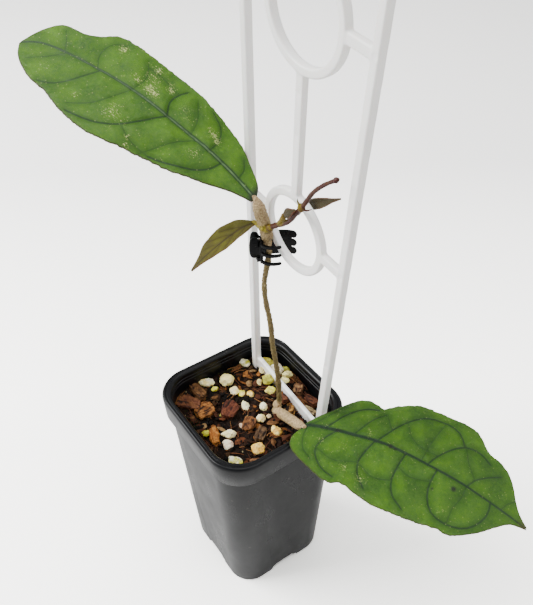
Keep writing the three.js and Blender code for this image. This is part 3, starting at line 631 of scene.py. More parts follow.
# the leaf shapes are the frame's own: along from the petiole, across, in millimetres
upperLeaf = {
    "node": "upper_leaf", "base": (-1.6, 6.9, 212), "tip": (-71.8, -46.6, 261.6),
    "faces": (0.57, -0.14, 0.81),
    "midrib": [(0, 0), (10.5, -2.5), (26, -5), (46, -7), (62, -8), (82.5, -7), (96, -5), (103, -0.8)],
    "sideA": [(0, -2), (2, -6), (8, -10.5), (17, -16.5), (28, -20.5), (39, -23), (49, -24.5), (61, -25.2),
              (70, -25.4), (76, -24.5), (81, -20.5), (87, -17.4), (94.5, -16.2), (98.5, -12), (101.2, -7),
              (103, -1.6)],
    "sideB": [(0.6, 1.6), (5.5, 2.4), (11, 3.6), (22, 7.5), (31.5, 10.5), (40, 11.7), (48.5, 13),
              (56, 14.6), (64, 15.8), (72, 15.2), (78.5, 13.8), (85, 11.2), (91, 10.2), (97, 7.4),
              (101, 4), (103.2, 0)],
    "arch": 4, "cup": -2, "wave": 0.7, "waves": 3.5, "thickness": 0.8,
    "laterals": [
        (1.0, [(17.8, -3.9), (20, 0.5), (25, 4.8), (34.9, 9.0), (41.5, 10.4)]),
        (1.0, [(43.9, -6.9), (47, -3.6), (50.5, 0.4), (56, 6.3), (62.2, 10.2), (68.2, 12.1), (74.8, 13.2)]),
        (0.75, [(73.4, -7.4), (77.4, -1.5), (81.3, 4.0), (85.2, 7.6), (89.4, 9.3)]),
        (1.0, [(44.3, -7.0), (46.2, -12.2), (45.2, -17.0), (43.2, -20.2)]),
        (0.7, [(24.2, -4.7), (23.2, -10.5), (25.4, -16.1), (31, -19.6)]),
        (0.6, [(9.6, -2.3), (9.4, -6.8), (11.6, -10.6)]),
        (0.45, [(74.6, -7.4), (77.2, -13.0), (76.0, -19.3), (71.5, -22.6)]),
        (0.4, [(30, -5.4), (36, 0.0), (41, 6.5), (44.5, 11)]),
        (0.35, [(60, -8), (64, -1.5), (69, 5.5), (76, 10.5)]),
        (0.35, [(60, -8), (58.5, -15), (61.5, -22)]),
        (0.3, [(33, -5.6), (34, -12), (38, -19.5)]),
        (0.35, [(88, -6.3), (90, -10.5), (92.5, -14)]),
        (0.35, [(87, -6.4), (92, -1), (97.5, 3.5)]),
        (0.3, [(41.5, 10.4), (50, 9.4), (56, 6.3)]),
        (0.3, [(45.2, -17), (54, -19.5), (61, -20)]),
    ],
    "flecks": [(71.5, -20.2, 2.8, 0.9), (66.5, -21.5, 2.2, 0.4), (56.5, -21.3, 2.6, 0.9),
               (60, -21.2, 2.4, 0.5), (53.5, -21.4, 2.6, 0.5), (50, -19, 2.2, 0.7), (48.5, -17, 2.4, 0.95),
               (63, -14, 2.4, 0.55), (60.5, -12.5, 2.2, 0.9), (55, -12, 3.2, 1), (52.5, -11.4, 2.4, 1),
               (56, -17, 4.5, 0.72), (45, -15.8, 2.4, 0.35), (40, -12.5, 3.5, 0.6), (37, -10, 3, 0.6),
               (28.5, -12.4, 1.8, 0.8), (26, -11.2, 2.4, 1), (23.8, -10.2, 2.2, 0.95),
               (28, -0.3, 2.4, 0.75), (61, 4, 5.5, 0.68), (56, 5, 4, 0.45), (75.5, 6.4, 2.0, 0.75),
               (51.5, 9, 1.5, 0.95), (50.5, 11.6, 1.3, 1), (49.5, 13, 1.2, 0.9), (91, 3, 4, 0.5),
               (70, -13, 3, 0.35), (40, 5, 3.5, 0.3)],
    "rows": 230, "columns": 44,
}

lowerLeaf = {
    "node": "lower_leaf", "base": (31.3, 6.2, 112), "tip": (116.6, 55.2, 97), "faces": (0.24, -0.12, 0.96),
    "midrib": [(0, 0), (3, 2.4), (14.5, 4.8), (31.5, 7.3), (42, 7.6), (54, 7), (72, 5.6), (91, 2.5),
               (100, 0.8)],
    "sideA": [(-0.6, -2.2), (-2, -5), (-2, -8), (-0.5, -10.7), (4, -13.4), (10.5, -16), (16.5, -18),
              (21.5, -18.2), (25, -17), (33.5, -18.5), (42.5, -19.5), (51, -19.5), (58, -18.5),
              (66.5, -17), (71, -17.3), (76, -15.5), (83.5, -10), (89, -4.7), (93.5, -1), (97.5, 0),
              (100.6, 0.4)],
    "sideB": [(0.4, 2), (4, 7.5), (9, 13.5), (13.5, 19), (18, 23), (22.5, 24.5), (26.5, 24), (29.5, 24),
              (34, 28), (40, 30.7), (47.5, 32.5), (56, 33), (68, 32), (72.5, 29.5), (77, 25), (83.5, 22.5),
              (88, 19), (91, 14.5), (93.5, 9.5), (96.5, 5), (100.5, 1.4)],
    "arch": 4, "cup": -1, "wave": 0.9, "waves": 4.5, "thickness": 0.8,
    "laterals": [
        (1.0, [(9.6, 4.2), (12, 8), (14.7, 12.5), (21.1, 18.9), (27.5, 21.9)]),
        (0.7, [(22.0, 6.4), (24.2, 11), (27.2, 16.5), (31.5, 21.4)]),
        (1.0, [(32.0, 7.3), (36.1, 15.0), (41.0, 21.6), (47.4, 26.9), (56.4, 29.0), (63.5, 26.6),
               (66.5, 22.4)]),
        (1.0, [(55.0, 7.0), (57.8, 12.6), (63.4, 19.2), (68.7, 22.4), (74.4, 22.2), (79, 19.6)]),
        (0.9, [(72.8, 5.5), (75.2, 9.6), (79.4, 13.2), (84.6, 16.4)]),
        (0.9, [(14.7, 4.8), (11.4, -0.5), (9.4, -6.2), (11.2, -10.4), (15.4, -13.8), (20.8, -15.4)]),
        (1.0, [(31.4, 7.2), (29.2, 0.5), (28.4, -5.3), (30.4, -10.6), (34.4, -14.6)]),
        (1.0, [(45.2, 7.5), (44.0, 0.4), (43.9, -6.4), (46.3, -12.2), (51.6, -15.9)]),
        (1.0, [(59.5, 6.6), (58.6, 0.2), (59.8, -7.2), (63.6, -12.0), (70.1, -13.6), (77.4, -11.6),
               (82.2, -6.4), (84.1, -1.4), (83.8, 3.6)]),
        (0.5, [(2.2, 1.6), (2.2, -3.5), (4.5, -8.8), (9, -12)]),
        (0.45, [(2.5, 2.0), (6.5, 7), (11.5, 14.6), (16, 19.6)]),
        (0.35, [(41.0, 21.6), (45, 15.5), (50, 13), (57.8, 12.6)]),
        (0.35, [(36, 15), (33.5, 18.6), (31.5, 21.4)]),
        (0.3, [(44.0, 0.4), (50, -1.6), (58.6, 0.2)]),
        (0.35, [(28.4, -5.3), (36, -8.4), (43.9, -6.4)]),
        (0.3, [(9.4, -6.2), (18, -8.4), (28.4, -5.3)]),
        (0.35, [(72.8, 5.5), (72.2, -0.6), (70.4, -6.2), (70.1, -13.6)]),
        (0.3, [(67, 22.8), (71, 15), (75.2, 9.6)]),
        (0.35, [(88.6, 3.0), (90.4, 6.6), (93, 9.2)]),
        (0.3, [(52, 7.2), (53.5, 18), (56.4, 29)]),
    ],
    "flecks": [(10, -2.5, 2.2, 0.7), (16, -6, 3, 0.45), (20, -2, 3.4, 0.4), (24, -10, 3, 0.7),
               (14, -11, 2.6, 0.4), (32, -12, 3.4, 0.68), (37, -9, 2.6, 0.4), (28, 9.5, 2.6, 0.62),
               (31, 17, 2.4, 0.4), (49, 11, 2.4, 0.35), (34, -2, 2.2, 0.4), (67, -9, 3.4, 0.4),
               (84, 8, 3, 0.35)],
    "spots": [(14.9, 4.9, 0.75), (38.2, 7.5, 0.85), (40.4, 7.3, 0.6), (68.2, 1.7, 1.0), (60.2, -2.2, 0.5)],
    "rows": 230, "columns": 44,
}

youngLeftLeaf = {
    "node": "young_left_leaf", "base": (-4, 8.1, 199.6), "tip": (-1.5, -23.2, 191.3),
    "faces": (0.3, -0.2, 0.93),
    "midrib": [(0, 0), (6, -1.2), (13.4, -1.1), (22.7, -0.8), (29, -0.4), (32.4, 0)],
    "sideA": [(0, -0.9), (2.7, -3.6), (6.2, -5.8), (12, -6.4), (17, -6.2), (22.2, -5), (27, -2.5),
              (32.4, -0.4)],
    "sideB": [(0, 0.9), (2.6, 1.1), (5.6, 1.6), (10.8, 2.3), (17, 2.6), (21.9, 2.1), (27, 1), (32.4, 0.4)],
    "arch": 1.6, "cup": 0.8, "wave": 0.3, "waves": 3, "thickness": 0.65,
    "laterals": [(0.6, [(5, -1.1), (9, -3.2), (14, -4.9)]), (0.6, [(11, -1.1), (15, -3), (20, -4.4)]),
                 (0.5, [(17, -1), (21, -2.6), (25.5, -3)]), (0.5, [(4, -1), (8, 0.6), (12, 1.8)]),
                 (0.5, [(10, -1.1), (14, 0.8), (18, 2)]), (0.4, [(17, -1), (20, 0.5), (24, 1.4)])],
    "rows": 90, "columns": 16,
}

youngRightLeaf = {
    "node": "young_right_leaf", "base": (15.9, 17.6, 214), "tip": (33.9, 18.6, 225.4),
    "faces": (-0.1, -0.98, 0.15),
    "midrib": [(0, 0), (6, 0.3), (12, 0.3), (21.3, 0)],
    "sideA": [(0, -0.5), (3, -1.6), (7, -2.2), (12, -1.9), (17, -0.9), (21.3, -0.35)],
    "sideB": [(0, 0.5), (3, 1.6), (7, 2.1), (12, 1.7), (17, 0.8), (21.3, 0.35)],
    "arch": 0.6, "cup": 0.5, "wave": 0.15, "waves": 2, "thickness": 0.65,
    "laterals": [(0.5, [(4, 0.2), (7, -1), (10, -1.7)]), (0.5, [(6, 0.3), (9, 1.1), (12, 1.5)]),
                 (0.4, [(11, 0.3), (14, -0.7), (16, -1)])],
    "rows": 60, "columns": 12,
}

curledLeaf = {
    "node": "curled_leaf", "base": (17.1, 6.9, 214.4), "tip": (25.3, 5.4, 221.4), "faces": (0.2, -0.9, 0.3),
    "midrib": [(0, 0), (4, 0), (8, 0), (10.9, 0)],
    "sideA": [(0, -0.5), (2, -1.6), (5, -1.9), (8, -1.4), (10.9, -0.4)],
    "sideB": [(0, 0.5), (2, 1.6), (5, 1.9), (8, 1.4), (10.9, 0.4)],
    "arch": 1.4, "cup": -1, "wave": 0.1, "waves": 2, "thickness": 0.65,
    "laterals": [(0.4, [(2.5, 0), (5, -0.9), (7, -1.3)])],
    "rows": 50, "columns": 12,
}


def outlineSpots(outline, count):
    # evenly spaced spots on the smooth line through an outline's points
    pts = [Vector((u, v, 0)) for u, v in outline]
    last = len(pts) - 1
    dense = []
    for k in range(last):
        p0, p1, p2, p3 = pts[max(k - 1, 0)], pts[k], pts[k + 1], pts[min(k + 2, last)]
        v0, v1 = (p2 - p0) / 2, (p3 - p1) / 2
        for i in range(20):
            t = i / 20
            dense.append((2 * p1 - 2 * p2 + v0 + v1) * t ** 3 + (3 * p2 - 3 * p1 - 2 * v0 - v1) * t ** 2
                         + v0 * t + p1)
    dense.append(pts[-1])
    return np.array([(p.x, p.y) for p in evenPoints(dense, count)])


def nearestOn(lines, x, y):
    # distance from every spot to the closest of some lines, on which side of it, and that line's strength
    best = np.full(x.shape, 1e9)
    side = np.ones(x.shape)
    strength = np.zeros(x.shape)
    for weight, line in lines:
        for (ax, ay), (bx, by) in zip(line[:-1], line[1:]):
            dx, dy = bx - ax, by - ay
            t = np.clip(((x - ax) * dx + (y - ay) * dy) / max(dx * dx + dy * dy, 1e-9), 0, 1)
            gap = np.hypot(x - ax - t * dx, y - ay - t * dy)
            closer = gap < best
            best = np.where(closer, gap, best)
            side = np.where(closer, np.where((x - ax) * dy - (y - ay) * dx >= 0, 1.0, -1.0), side)
            strength = np.where(closer, weight, strength)
    return best, side, strength


def cloudAt(x, y, scale, seed):
    values = [noise.noise(Vector((px * scale + seed, py * scale, 0))) for px, py in zip(x.ravel(), y.ravel())]
    return np.array(values).reshape(x.shape)


def bladeFaces(rows, width):
    # the top, the back, and the strips that close them all round
    count = (rows + 1) * width
    faces = []
    for i in range(rows):
        for j in range(width - 1):
            a = i * width + j
            faces.append((a, a + width, a + width + 1, a + 1))
            faces.append((count + a, count + a + 1, count + a + width + 1, count + a + width))
    for i in range(rows):
        a, b = i * width, i * width + width - 1
        faces.append((a, count + a, count + a + width, a + width))
        faces.append((b, b + width, count + b + width, count + b))
    for j in range(width - 1):
        k = rows * width + j
        faces.append((j, j + 1, count + j + 1, count + j))
        faces.append((k, count + k, count + k + 1, k + 1))
    return faces


# how the blade is worked, in millimetres: height and reach of each line or bulge
bladeShape = {"swell": (0.62, 4.2), "veinGroove": (0.34, 0.7), "midribGroove": (0.42, 0.9),
              "midribKeel": (1.35, 1.15), "veinKeel": (0.3, 0.7), "flatRim": 3.0, "roundRim": 0.55,
              "nick": 1.6, "youngScale": 0.35}


def hump(distance, reach):
    # 1 on a line, falling off softly to both sides
    return np.exp(-(distance / reach) ** 2)


def buildLeaf(leaf):
    rows, columns = leaf["rows"], leaf["columns"]
    midrib = outlineSpots(leaf["midrib"], rows)
    edges = [outlineSpots(leaf["sideA"], rows), outlineSpots(leaf["sideB"], rows)]
    length = leaf["midrib"][-1][0]
    big = length > 50
    size = 1.0 if big else bladeShape["youngScale"]
    order = np.arange(-columns, columns + 1)
    steps = 1 - (1 - np.abs(order) / columns) ** 1.25  # closer columns towards the edge
    out = np.tile(steps, (rows + 1, 1))
    x, y, reach = (np.zeros(out.shape) for _ in range(3))
    for j, step in enumerate(steps):
        edge = edges[0 if j < columns else 1]
        x[:, j] = midrib[:, 0] + (edge[:, 0] - midrib[:, 0]) * step
        y[:, j] = midrib[:, 1] + (edge[:, 1] - midrib[:, 1]) * step
        reach[:, j] = np.hypot(edge[:, 0] - midrib[:, 0], edge[:, 1] - midrib[:, 1])
    along = np.clip(x / length, 0, 1)
    fade = np.sin(np.pi * np.minimum(1, 0.12 + along))
    ripple = leaf["wave"] * fade * np.sin(leaf["waves"] * along * np.pi * 2 + 1.7 * (order >= 0))
    height = leaf["arch"] * 4 * along * (1 - along) + (leaf["cup"] + ripple) * out ** 2 * fade
    # small nicks in the edge
    nick = np.array([[0.28 * noise.noise(Vector((i * 0.19, 3.3, leaf["arch"])))
                      + 0.2 * noise.noise(Vector((i * 0.6, 7.7, leaf["arch"])))] for i in range(rows + 1)])
    fine = (out ** 3) * np.sin(np.pi * np.arange(rows + 1) / rows)[:, None] * (1.0 if big else 0.3)
    across = np.sign(order)[None, :]
    y += across * np.where(across < 0, nick, np.roll(nick, 37, axis=0)) * fine * bladeShape["nick"]
    fromEdge = reach * (1 - out)
    # sunken veins with the blade swelling between them
    veinLines = [(weight, [(p.x, p.y) for p in evenPoints(smoothPath([(u, v, 0) for u, v in line], 40), 16)])
                 for weight, line in leaf["laterals"]]
    toVein, veinSide, veinStrength = nearestOn(veinLines, x, y)
    toMidrib = nearestOn([(1.0, [tuple(p) for p in midrib])], x, y)[0]
    near = np.minimum(toVein, toMidrib)
    bulge = lambda key, distance: bladeShape[key][0] * size * hump(distance, bladeShape[key][1] * size)
    swell = bladeShape["swell"][0] * size - bulge("swell", near)
    groove = (0.3 + 0.7 * veinStrength) * bulge("veinGroove", toVein) + bulge("midribGroove", toMidrib)
    inward = np.clip(fromEdge / (bladeShape["flatRim"] * size), 0, 1)
    broad, small = cloudAt(x, y, 0.11 / size, 3.1 + leaf["arch"]), cloudAt(x, y, 0.42 / size, 9.7)
    top = height + (swell - groove) * inward * fade + size * (0.5 * broad + 0.14 * small) * inward * fade
    # the edge thins and rounds, and the ribs stand out below
    half = leaf["thickness"] / 2
    rounding = np.clip(fromEdge / bladeShape["roundRim"], 0, 1)
    thin = 0.12 + 0.88 * np.sqrt(1 - (1 - rounding) ** 2)
    narrowing = np.clip(1.05 - along, 0.25, 1)
    keel = (narrowing * bulge("midribKeel", toMidrib) + bulge("veinKeel", toVein)) * inward * fade
    upper, lower = top - half + half * thin, top - half - half * thin - keel
    points = np.concatenate([np.stack([x, y, z], 2).reshape(-1, 3) for z in (upper, lower)])
    piece = meshPiece(leaf["node"], points, bladeFaces(rows, len(order)))
    base = Vector(leaf["base"])
    ahead = (Vector(leaf["tip"]) - base).normalized()
    aside = Vector(leaf["faces"]).cross(ahead).normalized()
    stand = Matrix((ahead, aside, ahead.cross(aside))).transposed().to_4x4()
    piece.data.transform(Matrix.Translation(base) @ stand)
    faceOutward(piece)
    flecks, spots = np.zeros(x.shape), np.zeros(x.shape)
    for fx, fy, wide, dense in leaf.get("flecks", ()):
        flecks = np.maximum(flecks, dense * hump(np.hypot(x - fx, y - fy), wide))
    for sx, sy, wide in leaf.get("spots", ()):
        spots = np.maximum(spots, np.clip(1.6 - np.hypot(x - sx, y - sy) / wide, 0, 1))
    marks = {"veinSide": np.clip(toVein * veinSide, -2, 2), "veinNear": np.clip(1.5 - toVein, 0, 1),
             "veinStrength": veinStrength, "fromMidrib": np.clip(toMidrib, 0, 4),
             "shade": hump(near, 1.9 * size), "flecks": flecks, "spots": spots,
             "fromEdge": np.clip(fromEdge, 0, 3), "length": along, "under": np.repeat([0.0, 1.0], x.size)}
    for name, values in marks.items():
        store(piece, name, values)
    sheet = piece.data.uv_layers.new(name="bladePlace")
    places = np.tile(np.stack([x.ravel(), y.ravel()], 1) / 100, (2, 1))
    cornerSpots = np.zeros(len(piece.data.loops), dtype=np.int32)
    piece.data.loops.foreach_get("vertex_index", cornerSpots)
    sheet.data.foreach_set("uv", places[cornerSpots].ravel())
    shadeSoft(piece)
    return piece


def makeLeafFinish(name, colours, roughness, size=1.0):
    mix = Finish(name, roughness, Specular_IOR_Level=0.32, Subsurface_Weight=0.04, Subsurface_Scale=0.0015)
    mix.place = mix.node("ShaderNodeUVMap", uv_map="bladePlace").outputs["UV"]
    names = ("deep", "mid", "fresh", "vein", "pale", "edge")
    deep, mid, fresh, vein, pale, edge = (colours[name] for name in names)
    fromMidrib, length, under = mix.own("fromMidrib"), mix.own("length"), mix.own("under")
    # the veins, wide where they are strong
    strength = mix.own("veinStrength")
    half = mix.reckon("MULTIPLY_ADD", strength, 0.25 * size, 0.10 * size)
    inside = mix.reckon("SUBTRACT", half, mix.reckon("ABSOLUTE", mix.own("veinSide")))
    veins = mix.times(mix.spread(inside, -0.15 * size, 0.15 * size), mix.own("veinNear"),
                      mix.reckon("MULTIPLY_ADD", strength, 0.45, 0.35))
    medium = mix.cloud(42, 5, 0.3, 0.72)
    base = mix.blend(mix.cloud(9, 3, 0.34, 0.66), deep, fresh)
    base = mix.coat(base, mid, medium, 0.6)
    base = mix.coat(base, fresh, mix.cloud(95, 4, 0.36, 0.66), 0.4)
    # painted shade: darker green where the blade dips towards the sunken veins and midrib
    base = mix.coat(base, deep, mix.own("shade"), 0.55)
    # the net of small veins, which wanders with a soft noise, and the little raised cells between them
    warp = mix.node("ShaderNodeTexNoise", {"Vector": mix.place, "Scale": 16, "Detail": 3}).outputs["Color"]
    wander = mix.node("ShaderNodeVectorMath", {0: warp, "Scale": 0.955}, operation="SCALE").outputs[0]
    lines = []
    for scale, reach, amount in ((24 / size, 0.07, 0.5), (66 / size, 0.17, 0.62)):
        net = mix.node("ShaderNodeTexVoronoi", {"Vector": wander, "Scale": scale}, feature="DISTANCE_TO_EDGE")
        lines.append(mix.spread(net.outputs["Distance"], reach, 0))
        base = mix.coat(base, deep, lines[-1], amount)
    base = mix.blend(veins, base, vein)
    # midrib: a dark band, and near the stalk a pale thread along its middle
    narrow = mix.reckon("DIVIDE", fromMidrib, mix.reckon("MULTIPLY_ADD", length, -0.8, 1.3))
    band = mix.spread(narrow, colours["band"] * size + 0.35, colours["band"] * size - 0.05)
    base = mix.coat(base, vein, band, 0.95)
    thread = mix.times(mix.spread(fromMidrib, 0.5 * size, 0.1 * size), mix.spread(medium, 0, 0.8, 0.45, 1),
                       mix.spread(length, 0.9, 0.1, 0.18, 1))
    base = mix.coat(base, pale, thread, colours["midFresh"])
    # silver flecks in clusters, with a scatter of single ones
    level = mix.reckon("SUBTRACT", 0.705, mix.times(mix.own("flecks"), 0.225))
    clusters = mix.spread(mix.reckon("SUBTRACT", mix.noise(105, 4, (1, 1.7, 1), 0.75), level), -0.01, 0.04)
    silver = mix.reckon("MAXIMUM", clusters, mix.times(mix.dots(150, 0.05), 0.35))
    silver = mix.times(silver, colours["silver"])
    base = mix.blend(silver, base, colours["fleck"])
    base = mix.blend(mix.own("spots"), base, (0.008, 0.012, 0.005))
    rim = mix.times(mix.spread(mix.own("fromEdge"), 0.62 * size ** 0.5, 0.18 * size ** 0.5), colours["rim"])
    base = mix.blend(rim, base, edge)
    base = mix.coat(base, (0.010, 0.016, 0.008), mix.spread(length, 0.035, 0.012), colours["heel"])
    base = mix.coat(base, (0.070, 0.050, 0.012), mix.spread(length, 0.955, 0.99), colours["tail"])
    # the back is paler and duller
    back = mix.blend(mix.times(medium, 0.6), colours["back"], mid)
    back = mix.coat(back, pale, mix.reckon("MAXIMUM", veins, band), 0.55)
    base = mix.blend(under, base, mix.blend(rim, back, edge))
    rough = mix.spread(medium, 0, 1, roughness - 0.06, roughness + 0.1)
    rough = mix.reckon("ADD", rough, mix.times(under, 0.2))
    rough = mix.reckon("ADD", rough, mix.times(silver, 0.12))
    cells = mix.reckon("ADD", mix.times(lines[0], -1), mix.times(lines[1], -0.6))
    skin = mix.relief(mix.noise(300, 3), 0.00008, 0.3)
    return mix.done(base, rough, mix.relief(veins, 0.00022, -0.6, mix.relief(cells, 0.00022, 0.7, skin)))


green = {"deep": (0.024, 0.088, 0.003), "mid": (0.060, 0.180, 0.003), "fresh": (0.145, 0.335, 0.002),
         "vein": (0.009, 0.036, 0.010), "pale": (0.17, 0.29, 0.12), "fleck": (0.56, 0.62, 0.22),
         "edge": (0.040, 0.022, 0.005), "back": (0.090, 0.170, 0.035), "silver": 1.0, "rim": 0.8,
         "midFresh": 0.85, "band": 0.55, "heel": 0.9, "tail": 0.0}
deepGreen = dict(green, deep=(0.016, 0.062, 0.003), mid=(0.038, 0.118, 0.004), fresh=(0.098, 0.230, 0.002),
                 vein=(0.006, 0.024, 0.008), rim=0.55, midFresh=0, silver=0.7, band=0.5, heel=0, tail=0.55)
olive = {"deep": (0.066, 0.052, 0.006), "mid": (0.12, 0.104, 0.009), "fresh": (0.19, 0.185, 0.012),
         "vein": (0.042, 0.028, 0.008), "pale": (0.17, 0.16, 0.04), "fleck": (0.30, 0.27, 0.08),
         "edge": (0.135, 0.040, 0.014), "back": (0.13, 0.09, 0.03), "silver": 0.3, "rim": 1.0,
         "midFresh": 0.2, "band": 0.30, "heel": 0.0, "tail": 0.9}
dusk = dict(olive, deep=(0.034, 0.022, 0.005), mid=(0.052, 0.040, 0.007), fresh=(0.078, 0.066, 0.010),
            back=(0.070, 0.048, 0.012))


def makeLeaves():
    dusky = makeLeafFinish("youngLeafDusk", dusk, 0.45, 0.4)
    for leaf, name, finish, slot in (
            (upperLeaf, "upperLeafBlade", makeLeafFinish("upperLeafGreen", green, 0.40), "leaf_green"),
            (lowerLeaf, "lowerLeafBlade", makeLeafFinish("lowerLeafGreen", deepGreen, 0.38), "leaf_green"),
            (youngLeftLeaf, "youngLeafLeft", makeLeafFinish("youngLeafOlive", olive, 0.45, 0.45),
             "young_leaf"),
            (youngRightLeaf, "youngLeafRight", dusky, "young_leaf"),
            (curledLeaf, "youngLeafCurled", dusky, "young_leaf")):
        finishPiece(buildLeaf(leaf), name, finish, leaf["node"])


makeLeaves()
print("leaves made")


stemShape = {
    "radius": 1.15, "joints": (28, 61, 97), "petiole": 2.35, "grain": 0.22,
    "route": [(3.6, 11.2, 84), (4.7, 12.4, 96), (4.4, 12.8, 107), (3.3, 12.6, 120.6), (1.8, 11.6, 134.5),
              (0.6, 11.1, 149), (-0.9, 10, 161), (-1.4, 9.9, 170), (-1.1, 11.1, 178), (-0.8, 12.2, 185),
              (-1.3, 12, 194)],
    "upperPetiole": [(-0.5, 10.9, 195), (-0.9, 10, 200.5), (-1.2, 8.6, 206), (-1.4, 7.3, 211),
                     (-2.2, 6.4, 213.4)],
    "upperTaper": (1.06, [1.03, 0.99, 0.93, 0.86, 0.77, 0.68, 0.58, 0.48, 0.39, 0.3]),
    "lowerPetiole": [(5, 11.4, 94.5), (13, 10.2, 99.6), (22, 8.4, 105.4), (29.7, 6.8, 110.8),
                     (32.4, 7.3, 112.4)],
    "lowerTaper": (1.0, [0.99, 0.96, 0.91, 0.83, 0.72, 0.6, 0.48, 0.36]),
    "youngStalk": [(1.2, 8.9, 199.2), (-1.2, 8.4, 199.3), (-3.4, 8.1, 199.6), (-5.0, 7.6, 199.7)],
    "rootBud": [(-0.9, 9.4, 170.4), (0.6, 8.9, 170.2), (1.5, 8.6, 171.4), (1.4, 8.4, 173.0)],
    "lumps": [((-0.1, 10.8, 195), (2.9, 2.3, 3.4)), ((-0.9, 11.6, 190.6), (1.9, 1.8, 2.2)),
              ((0.6, 10.3, 198.2), (2.5, 2.1, 2.3)), ((5.2, 11.3, 94), (3.4, 3, 3)),
              ((3.6, 12.2, 97.5), (2.2, 2.0, 2.4))],
    "petioleHeels": [[(-1.2, 12, 188.5), (-0.2, 10.9, 196)], [(4.6, 11.8, 94), (4.2, 12.0, 99)]],
    "freshHeel": [(1.4, 8.2, 199.2), (3.4, 9.4, 200.2)],
}
shootShape = {
    "radius": 1.15, "tip": 0.7, "grain": 0.17,
    "route": [(2.2, 10.6, 199.4), (6.5, 10.4, 203), (11.8, 9.8, 206.7), (17.5, 9.1, 211.5),
              (23.8, 8.3, 219.2), (27.3, 7.9, 223.4), (33.4, 7.3, 231.8), (39.2, 7.1, 237.5),
              (44.5, 7.5, 241.6)],
    "side": [(9, 10.2, 204.8), (12.8, 8.6, 209.2), (16.3, 7.5, 213.2)],
    "stalk": [(24.8, 8.6, 220.6), (20.4, 11.2, 216.2), (17.6, 13, 213), (15.2, 15.8, 211.6),
              (15.5, 17.3, 213.2), (16.6, 17.6, 214.5)],
    "bracts": [[(26.6, 7.7, 222), (28.6, 8.2, 221.9), (30.6, 8.2, 223.2), (32, 8.1, 224.2)],
               [(26.0, 7.4, 222.6), (25.2, 6.9, 224.6), (25.6, 6.8, 225.9)]],
    "lumps": [((26, 8, 221.8), (1.5, 1.45, 1.7)), ((16.3, 7.4, 213.4), (1.15, 1.1, 1.3)),
              ((44.5, 7.5, 241.6), (1.0, 1.0, 1.05)), ((45.1, 7.5, 242.1), (0.75, 0.7, 0.7)),
              ((2.9, 10.2, 200), (1.9, 1.5, 1.5))],
    "freshHeels": [[(1.6, 10.4, 199.2), (3.6, 10.2, 200.6)], [(26, 8, 221.8), (25.4, 7.4, 223.4)]],
}


def petioleRadii(count, bumps, full, end):
    # an old stalk with faint rings and bumps, tapering where it runs into its leaf
    rng = random.Random(17)
    radii = []
    for i, taper in enumerate([full] * (count + 1 - len(end)) + end):
        radius = stemShape["petiole"] - 0.35 * i / count + 0.25 * math.sin(i / count * math.pi)
        radii.append((radius + bumps * (0.6 * math.sin(i * 1.9) + 0.7 * (rng.random() - 0.5))) * taper)
    return radii


def paintNear(piece, name, lines, inner, outer):
    # 1 on some lines, fading to 0 at a distance
    co = spotsOf(piece)
    best = np.full(len(co), 1e9)
    for line in lines:
        pts = np.array([tuple(p) for p in line])
        for a, b in zip(pts[:-1], pts[1:]):
            d = b - a
            t = np.clip(((co - a) @ d) / max(d @ d, 1e-9), 0, 1)
            best = np.minimum(best, np.linalg.norm(co - a - t[:, None] * d, axis=1))
    store(piece, name, np.clip((outer - best) / (outer - inner), 0, 1))


def makeStemFinish():
    mix = Finish("stemBark", 0.62, Specular_IOR_Level=0.35)
    fine, broad = mix.cloud(1400, 6, 0.32, 0.68), mix.cloud(350, 4, 0.35, 0.65)
    bark = mix.blend(fine, (0.078, 0.052, 0.017), (0.215, 0.152, 0.056))
    bark = mix.coat(bark, (0.125, 0.098, 0.024), broad, 0.5)
    beige = mix.blend(fine, (0.19, 0.115, 0.050), (0.62, 0.45, 0.25))
    beige = mix.coat(beige, (0.34, 0.27, 0.115), broad, 0.4)
    beige = mix.coat(beige, (0.11, 0.055, 0.022), mix.dots(1100, 0.28), 0.8)  # pores
    fresh = mix.blend(fine, (0.12, 0.09, 0.006), (0.33, 0.27, 0.012))
    base = mix.blend(mix.own("fresh"), mix.blend(mix.own("petiole"), bark, beige), fresh)
    return mix.done(base, mix.spread(fine, 0, 1, 0.5, 0.75), mix.relief(mix.noise(2400, 5), 0.0005, 0.8))


def makeStem():
    shape = stemShape
    route = smoothPath(shape["route"], 110)
    radii = [shape["radius"] + sum(0.22 * math.exp(-((i - k) / 2.2) ** 2) for k in shape["joints"])
             + 0.05 * math.sin(i * 0.7) for i in range(len(route))]
    upper, lower = smoothPath(shape["upperPetiole"], 30), smoothPath(shape["lowerPetiole"], 46)
    young, bud = smoothPath(shape["youngStalk"], 12), smoothPath(shape["rootBud"], 10)
    parts = [stalk("stem", route, radii),
             stalk("upperPetiole", upper, petioleRadii(30, 0.10, *shape["upperTaper"])),
             stalk("youngStalk", young, [1.35 - 0.05 * i for i in range(13)]),
             stalk("lowerPetiole", lower, petioleRadii(46, 0.09, *shape["lowerTaper"]))]
    parts += [lump(*swelling) for swelling in shape["lumps"]]
    parts.append(stalk("rootBud", bud, [0.42 - 0.022 * i for i in range(11)]))
    stem = joinPieces("woodyStem", parts)
    fuse(stem, shape["grain"], 3)
    roughen(stem, "CLOUDS", 1.0, 0.5, noise_depth=3)
    roughen(stem, "STUCCI", 0.5, 0.28)
    paintNear(stem, "petiole", [upper, lower] + shape["petioleHeels"], 2.2, 3.3)
    paintNear(stem, "fresh", [shape["freshHeel"], young], 0.9, 2.0)
    shadeSoft(stem)
    finishPiece(stem, "woodyStem", makeStemFinish(), "stem")


